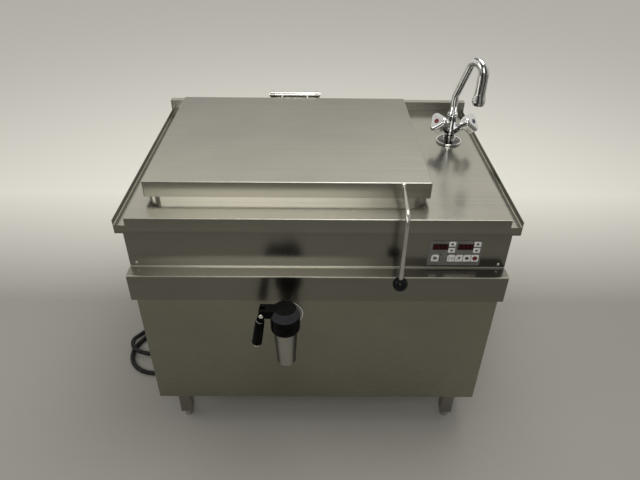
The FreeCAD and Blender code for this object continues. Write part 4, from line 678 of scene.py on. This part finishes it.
pin_x, pin_z = -0.165, 0.654
grip_hang = math.radians(9.0)
grip_pivot = Vector((pin_x, valve_y, pin_z))
grip_line = Vector((-math.sin(grip_hang), 0.0, -math.cos(grip_hang)))
settle(turned_ring(0.0134, 0.0104, 0.0030, grip_pivot + grip_line * 0.0325, grip_line, 0.0011),
       "grip_collar", "drain_grip_body", rosette_shaded_steel)
grip_tip = bar_along(grip_line, grip_pivot + grip_line * 0.1292, 48, 0.0122, 0.0050)
end_face(grip_tip, grip_line)
bpy.ops.mesh.bevel(offset=0.0016, segments=5, profile=0.6)
bpy.ops.object.mode_set(mode="OBJECT")
settle(grip_tip, "grip_tip", "drain_grip_body", polished_highlight_steel)
sleeve = bar_along(grip_line, grip_pivot + grip_line * 0.0815, 64, 0.0157, 0.0900)
end_face(sleeve, -grip_line)
bpy.ops.transform.resize(value=(0.88, 0.88, 0.88))
bpy.ops.object.mode_set(mode="OBJECT")
settle(rounded(sleeve, 0.0038, 6), "grip_sleeve", "drain_grip_body", grip_plastic)
settle(turned_ring(0.0290, 0.0240, 0.0110, (valve_x, valve_y, 0.4625), upwards, 0.0028),
       "outlet_bead", "base", valve_body_steel)


def socketed_head(radius, height, rounding, socket):
    """A domed screw head standing on the origin, with a hexagon socket pressed into its top."""
    bpy.ops.object.select_all(action="DESELECT")
    bpy.ops.mesh.primitive_cylinder_add(vertices=36, radius=radius, depth=height,
                                        location=(0.0, 0.0, height / 2.0))
    head = bpy.context.object
    end_face(head, (0.0, 0.0, 1.0))
    bpy.ops.mesh.bevel(offset=rounding, segments=6, profile=0.55)
    bpy.ops.object.mode_set(mode="OBJECT")
    bpy.ops.mesh.primitive_cylinder_add(vertices=6, radius=socket, depth=height, location=(0.0, 0.0, height))
    socket_bar = bpy.context.object
    pressed = head.modifiers.new("socket", "BOOLEAN")
    pressed.operation = "DIFFERENCE"
    pressed.object = socket_bar
    bpy.context.view_layer.objects.active = head
    bpy.ops.object.modifier_apply(modifier="socket")
    bpy.data.objects.remove(socket_bar)
    return head


pin_head = socketed_head(0.0066, 0.0024, 0.0016, 0.0030)
pin_head.location = (pin_x, -0.4970, pin_z)
pin_head.rotation_euler = (math.pi / 2.0, 0.0, 0.0)
settle(pin_head, "pin_screw_head", "drain_plug_body", polished_highlight_steel)

# Control panel
# A plate under a grey film has openings for two red-tinted display windows and nine keys. The keys'
# signs are printed in black and grey, and the on and off key's is a dark red disc with a sunk middle.
film, tree, shader = new_finish("keypad_film")
pearl = marks(tree, (520.0, 520.0, 520.0), 2.0)
grime = marks(tree, (34.0, 34.0, 34.0), 5.0, 0.65)
mixed = weighed(tree, ((pearl, 0.35), (grime, 0.65)))
link(tree, shades(tree, mixed, ((0.34, (0.085, 0.084, 0.075)), (0.5, (0.115, 0.113, 0.102)),
                                (0.68, (0.145, 0.143, 0.132)))), shader.inputs["Base Color"])
link(tree, between(tree, grime, 0.34, 0.52), shader.inputs["Roughness"])
relief(tree, pearl, 0.00004, 0.3, shader)
dress(film, "keypad_panel")

tinted, tree, shader = new_finish("tinted_window")
depth_of_tint = marks(tree, (60.0, 60.0, 60.0), 3.0)
link(tree, shades(tree, depth_of_tint, ((0.35, (0.014, 0.0006, 0.001)), (0.65, (0.030, 0.0012, 0.002)))),
     shader.inputs["Base Color"])
link(tree, between(tree, depth_of_tint, 0.12, 0.22), shader.inputs["Roughness"])
shader.inputs["Specular IOR Level"].default_value = 0.08
dress(tinted, "display_windows")

key_names = ("key_up_left", "key_down_left", "key_up_right", "key_down_right", "key_timer", "key_level",
             "key_arrow", "key_rinse", "key_on_off")
key_skin, tree, shader = new_finish("key_skin")
worn = marks(tree, (130.0, 130.0, 130.0), 5.0, 0.65)
link(tree, shades(tree, worn, ((0.33, (0.44, 0.43, 0.39)), (0.52, (0.66, 0.65, 0.61)),
                               (0.7, (0.74, 0.73, 0.70)))), shader.inputs["Base Color"])
link(tree, between(tree, worn, 0.40, 0.58), shader.inputs["Roughness"])
relief(tree, worn, 0.00008, 0.2, shader)
dress(key_skin, *key_names)


def printed(name, tint, roughness=0.42):
    """Screen-printed ink with slightly uneven cover."""
    ink, tree, shader = new_finish(name)
    cover = marks(tree, (800.0, 800.0, 800.0), 3.0)
    dark = [0.7 * c for c in tint]
    light = [min(1.0, 1.35 * c + 0.004) for c in tint]
    link(tree, shades(tree, cover, ((0.36, dark), (0.64, light))), shader.inputs["Base Color"])
    link(tree, between(tree, cover, 0.9 * roughness, 1.2 * roughness), shader.inputs["Roughness"])
    return ink


black_ink = printed("black_ink", (0.010, 0.010, 0.010))
grey_ink = printed("grey_ink", (0.12, 0.12, 0.11))
red_ink = printed("red_ink", (0.105, 0.006, 0.012))
ink_depth = 0.00015


def inked(outline):
    """Gives a flat outline on a front face the thickness of its ink."""
    bpy.ops.object.mode_set(mode="EDIT")
    bpy.ops.mesh.select_all(action="SELECT")
    bpy.ops.mesh.extrude_region_move(TRANSFORM_OT_translate={"value": (0.0, -ink_depth, 0.0)})
    bpy.ops.object.mode_set(mode="OBJECT")
    return outline


def printed_shape(corners, radius, centre, face_y, turn=0.0, wide=1.0):
    """A flat printed shape standing on a face that looks to the front."""
    bpy.ops.object.select_all(action="DESELECT")
    bpy.ops.mesh.primitive_circle_add(vertices=corners, radius=radius, fill_type="NGON",
                                      location=(centre[0], face_y, centre[1]),
                                      rotation=(math.pi / 2.0, -turn, 0.0))
    shape = bpy.context.object
    shape.scale = (wide, 1.0, 1.0)
    return inked(shape)


def dished_disc(radius, middle, centre, face_y):
    """A printed disc with a raised edge: its middle, of that radius, is pushed back within the ink."""
    disc = printed_shape(32, radius, centre, face_y)
    end_face(disc, (0.0, -1.0, 0.0))
    bpy.ops.mesh.inset(thickness=radius - middle, depth=0.0)
    bpy.ops.transform.translate(value=(0.0, 0.8 * ink_depth, 0.0))
    bpy.ops.object.mode_set(mode="OBJECT")
    return disc


def joined(shapes):
    """Several meshes made one."""
    bpy.ops.object.select_all(action="DESELECT")
    for shape in shapes:
        shape.select_set(True)
    bpy.context.view_layer.objects.active = shapes[0]
    bpy.ops.object.join()
    return bpy.context.object


def key_face(node):
    """Middle of a key's front as (x, z), and the y at which the front stands."""
    low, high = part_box(node)
    return ((low[0] + high[0]) / 2.0, (low[2] + high[2]) / 2.0), low[1]


for node, turn in (("key_up_left", 0.0), ("key_up_right", 0.0), ("key_down_left", math.pi),
                   ("key_down_right", math.pi)):
    centre, face_y = key_face(node)
    triangle = printed_shape(3, 0.0060, centre, face_y, turn, wide=1.05)
    settle(triangle, node + "_sign", node + "_body", black_ink)


def printed_bar(centre, width, height, face_y, turn=0.0):
    """A flat printed bar, turned about its middle on the face."""
    bpy.ops.object.select_all(action="DESELECT")
    bpy.ops.mesh.primitive_plane_add(size=1.0, location=(centre[0], face_y, centre[1]),
                                     rotation=(math.pi / 2.0, -turn, 0.0))
    bar = bpy.context.object
    bar.scale = (width, height, 1.0)
    return inked(bar)


def own_copy(piece):
    """A copy of a piece with a mesh of its own."""
    copy = piece.copy()
    copy.data = piece.data.copy()
    bpy.context.scene.collection.objects.link(copy)
    return copy


(x, z), face_y = key_face("key_timer")
dial = dished_disc(0.0064, 0.0056, (x, z), face_y)
hand = printed_bar((x, z + 0.0021), 0.0007, 0.0042, face_y)
short_hand = printed_bar((x + 0.0012, z), 0.0030, 0.0007, face_y)
settle(joined([dial, hand, short_hand]), "key_timer_sign", "key_timer_body", grey_ink)

(x, z), face_y = key_face("key_level")
levels = [printed_bar((x, z + 0.0030 * (row - 1.5)), 0.0125, 0.0006, face_y) for row in range(4)]
sides = [printed_bar((x + side * 0.0066, z + 0.0006), 0.0007, 0.0125, face_y) for side in (-1, 1)]
settle(joined(levels + sides), "key_level_sign", "key_level_body", grey_ink)

(x, z), face_y = key_face("key_arrow")
head = printed_shape(3, 0.0058, (x + 0.0010, z + 0.0018), face_y, -math.pi / 4.0)
shaft = printed_bar((x - 0.0036, z - 0.0028), 0.0022, 0.0080, face_y, -math.pi / 4.0)
settle(joined([head, shaft]), "key_arrow_sign", "key_arrow_body", black_ink)

(x, z), face_y = key_face("key_rinse")
drop = printed_shape(20, 0.0048, (x, z), face_y, 0.0, wide=1.2)
stem = printed_bar((x + 0.0036, z + 0.0022), 0.0048, 0.0012, face_y, -math.pi / 5.0)
settle(joined([drop, stem]), "key_rinse_sign", "key_rinse_body", black_ink)

(x, z), face_y = key_face("key_on_off")
red_disc = dished_disc(0.0078, 0.0036, (x, z), face_y)
settle(red_disc, "key_on_off_sign", "key_on_off_body", red_ink)

windows_low, windows_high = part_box("display_windows")
window_length = 0.0455
window_starts = (windows_low[0], windows_high[0] - window_length)
windows_z = (windows_low[2] + windows_high[2]) / 2.0
digit_out, digit_line = 0.0027, 0.0010
bars = [printed_bar((0.0, step * digit_out), 0.0044, digit_line, windows_low[1]) for step in (2, 0, -2)]
bars += [printed_bar((side * digit_out, step * digit_out), digit_line, 0.0046, windows_low[1])
         for step in (1, -1) for side in (-1, 1)]
digit = joined(bars)
digits = []
for left in window_starts:
    for place_in_row in range(4):
        figure = own_copy(digit)
        figure.location.x += left + window_length * (place_in_row + 0.5) / 4.0
        figure.location.z += windows_z
        digits.append(figure)
bpy.data.objects.remove(digit)
settle(joined(digits), "display_digits", "base",
       printed("unlit_segment", (0.045, 0.0018, 0.003)))

plate_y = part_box("keypad_panel")[0][1]
border = 0.0012
border_out = 0.0008
window_height = windows_high[2] - windows_low[2]
borders = []
for left in window_starts:
    middle_x = left + window_length / 2.0
    borders += [printed_bar((middle_x, windows_z + side * (window_height / 2.0 + border_out)),
                            window_length + 0.0030, border, plate_y) for side in (-1, 1)]
    borders += [printed_bar((middle_x + side * (window_length / 2.0 + border_out), windows_z),
                            border, window_height + 0.0004, plate_y) for side in (-1, 1)]
settle(joined(borders), "window_borders", "base", black_ink)

timer_low, timer_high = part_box("key_timer")
unused_x = (timer_high[0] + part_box("key_level")[0][0]) / 2.0
unused_z = (timer_low[2] + timer_high[2]) / 2.0
mark_out, mark_length, mark_line = 0.0062, 0.0130, 0.0007
frame_bars = [printed_bar((unused_x, unused_z + side * mark_out), mark_length, mark_line, plate_y)
              for side in (-1, 1)]
frame_bars += [printed_bar((unused_x + side * mark_out, unused_z), mark_line, mark_length, plate_y)
               for side in (-1, 1)]
settle(joined(frame_bars), "unused_place_sign", "base",
       printed("faint_ink", (0.20, 0.20, 0.185)))

lens, tree, shader = new_finish("lamp_lens")
flaws = marks(tree, (600.0, 600.0, 600.0), 2.0)
link(tree, shades(tree, flaws, ((0.3, (0.006, 0.006, 0.007)), (0.7, (0.022, 0.016, 0.016)))),
     shader.inputs["Base Color"])
link(tree, between(tree, flaws, 0.12, 0.25), shader.inputs["Roughness"])
lamps = []
for x in (timer_low[0], unused_x - 0.0105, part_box("key_level")[0][0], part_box("key_arrow")[0][0],
          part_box("key_rinse")[0][0]):
    bpy.ops.object.select_all(action="DESELECT")
    bpy.ops.mesh.primitive_cylinder_add(vertices=24, radius=0.0019, depth=0.0016,
                                        location=(x + 0.0008, plate_y - 0.0008, timer_high[2] + 0.0002),
                                        rotation=(math.pi / 2.0, 0.0, 0.0))
    lamp_lens = bpy.context.object
    end_face(lamp_lens, (0.0, -1.0, 0.0))
    bpy.ops.mesh.bevel(offset=0.0008, segments=4, profile=0.6)
    bpy.ops.object.mode_set(mode="OBJECT")
    lamps.append(lamp_lens)
settle(joined(lamps), "key_lamps", "base", lens)

# Control electronics, box and gland
# Behind the film a lacquered circuit board stands in a folded steel box, with contactors and terminals
# on a rail inside the right side, and a clamp gland for the mains lead in the back sheet.
dress(mill_sheet("box_steel", (0.56, 0.56, 0.55), 0.34), "control_box")
lacquer, tree, shader = new_finish("board_lacquer")
tracks = marks(tree, (210.0, 210.0, 900.0), 2.0)
link(tree, shades(tree, tracks, ((0.42, (0.010, 0.060, 0.025)), (0.50, (0.018, 0.115, 0.045)),
                                 (0.56, (0.055, 0.20, 0.075)))), shader.inputs["Base Color"])
link(tree, between(tree, tracks, 0.20, 0.36), shader.inputs["Roughness"])
relief(tree, tracks, 0.0001, 0.4, shader)
dress(lacquer, "control_board")
dress(moulded_plastic("switch_plastic", (0.045, 0.047, 0.052), 0.42, (0.085, 0.086, 0.088)), "switchgear")
dress(moulded_plastic("gland_plastic", (0.012, 0.012, 0.013), 0.38, (0.035, 0.035, 0.034)), "cable_gland")

# Panel screws
# Low domed stainless screws hold the apron and the back sheet. Each head is forged, with a hexagon socket
# pressed into it, and stands on its sheet.
screw_head = socketed_head(0.0048, 0.0030, 0.0022, 0.0018)
screws = []
for x, y, z, turn in [(side * 0.5548, -0.3280, 0.719, math.pi / 2.0) for side in (-1, 1)] + [
        (side * 0.5350, 0.4620, height, -math.pi / 2.0) for side in (-1, 1) for height in (0.171, 0.683)]:
    screw = own_copy(screw_head)
    screw.location = (x, y, z)
    screw.rotation_euler = (turn, 0.0, 0.0)
    screws.append(screw)
bpy.data.objects.remove(screw_head)
panel_heads = settle(joined(screws), "panel_screw_heads", "base", rod_steel)
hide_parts("panel_screws")

# Mains lead
# A thick black rubber lead leaves the gland in the back panel, drops to the floor and lies in one loose
# loop that shows at the left of the cabinet, with its plug pushed under the cabinet.
lead_floor = 0.0092
lead_route = [(-0.430, 0.484, 0.280), (-0.430, 0.540, 0.280), (-0.433, 0.590, 0.250),
              (-0.440, 0.620, 0.198), (-0.454, 0.630, 0.128), (-0.478, 0.616, 0.064),
              (-0.517, 0.584, 0.024), (-0.566, 0.544, lead_floor), (-0.612, 0.496, lead_floor),
              (-0.650, 0.442, lead_floor), (-0.676, 0.382, lead_floor), (-0.688, 0.320, lead_floor),
              (-0.690, 0.258, lead_floor), (-0.698, 0.197, lead_floor), (-0.716, 0.146, lead_floor),
              (-0.744, 0.104, lead_floor), (-0.769, 0.064, 0.0132), (-0.789, 0.018, 0.0285),
              (-0.775, -0.026, 0.0305), (-0.740, -0.054, 0.0285), (-0.686, -0.052, 0.0152),
              (-0.628, -0.056, lead_floor), (-0.570, -0.063, lead_floor), (-0.511, -0.054, lead_floor),
              (-0.465, -0.016, lead_floor), (-0.444, 0.041, lead_floor), (-0.455, 0.100, lead_floor),
              (-0.494, 0.146, lead_floor), (-0.550, 0.166, lead_floor), (-0.610, 0.161, lead_floor),
              (-0.664, 0.136, lead_floor), (-0.709, 0.096, lead_floor), (-0.745, 0.046, lead_floor),
              (-0.775, -0.006, lead_floor), (-0.775, -0.066, lead_floor), (-0.745, -0.118, lead_floor),
              (-0.693, -0.148, lead_floor), (-0.633, -0.150, lead_floor), (-0.579, -0.141, 0.0182),
              (-0.525, -0.132, 0.0382), (-0.470, -0.132, 0.0382)]
lead_curve = bpy.data.curves.new("mains_lead", "CURVE")
lead_curve.dimensions = "3D"
lead_line = lead_curve.splines.new("NURBS")
lead_line.points.add(len(lead_route) - 1)
for knot, spot in zip(lead_line.points, lead_route):
    knot.co = (*spot, 1.0)
lead_line.order_u = 3
lead_line.use_endpoint_u = True
lead_curve.resolution_u = 8
lead_curve.bevel_depth = 0.009
lead_curve.bevel_resolution = 6
lead_curve.use_fill_caps = True
lead = bpy.data.objects.new("mains_lead", lead_curve)
bpy.context.scene.collection.objects.link(lead)
lead_rubber = moulded_plastic("lead_rubber", (0.008, 0.008, 0.009), 0.30, (0.026, 0.026, 0.025))
lead_curve.materials.append(lead_rubber)
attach(lead, "base")
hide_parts("mains_cable")

dress(moulded_plastic("plug_plastic", (0.012, 0.012, 0.013), 0.40, (0.040, 0.040, 0.038)), "mains_plug")
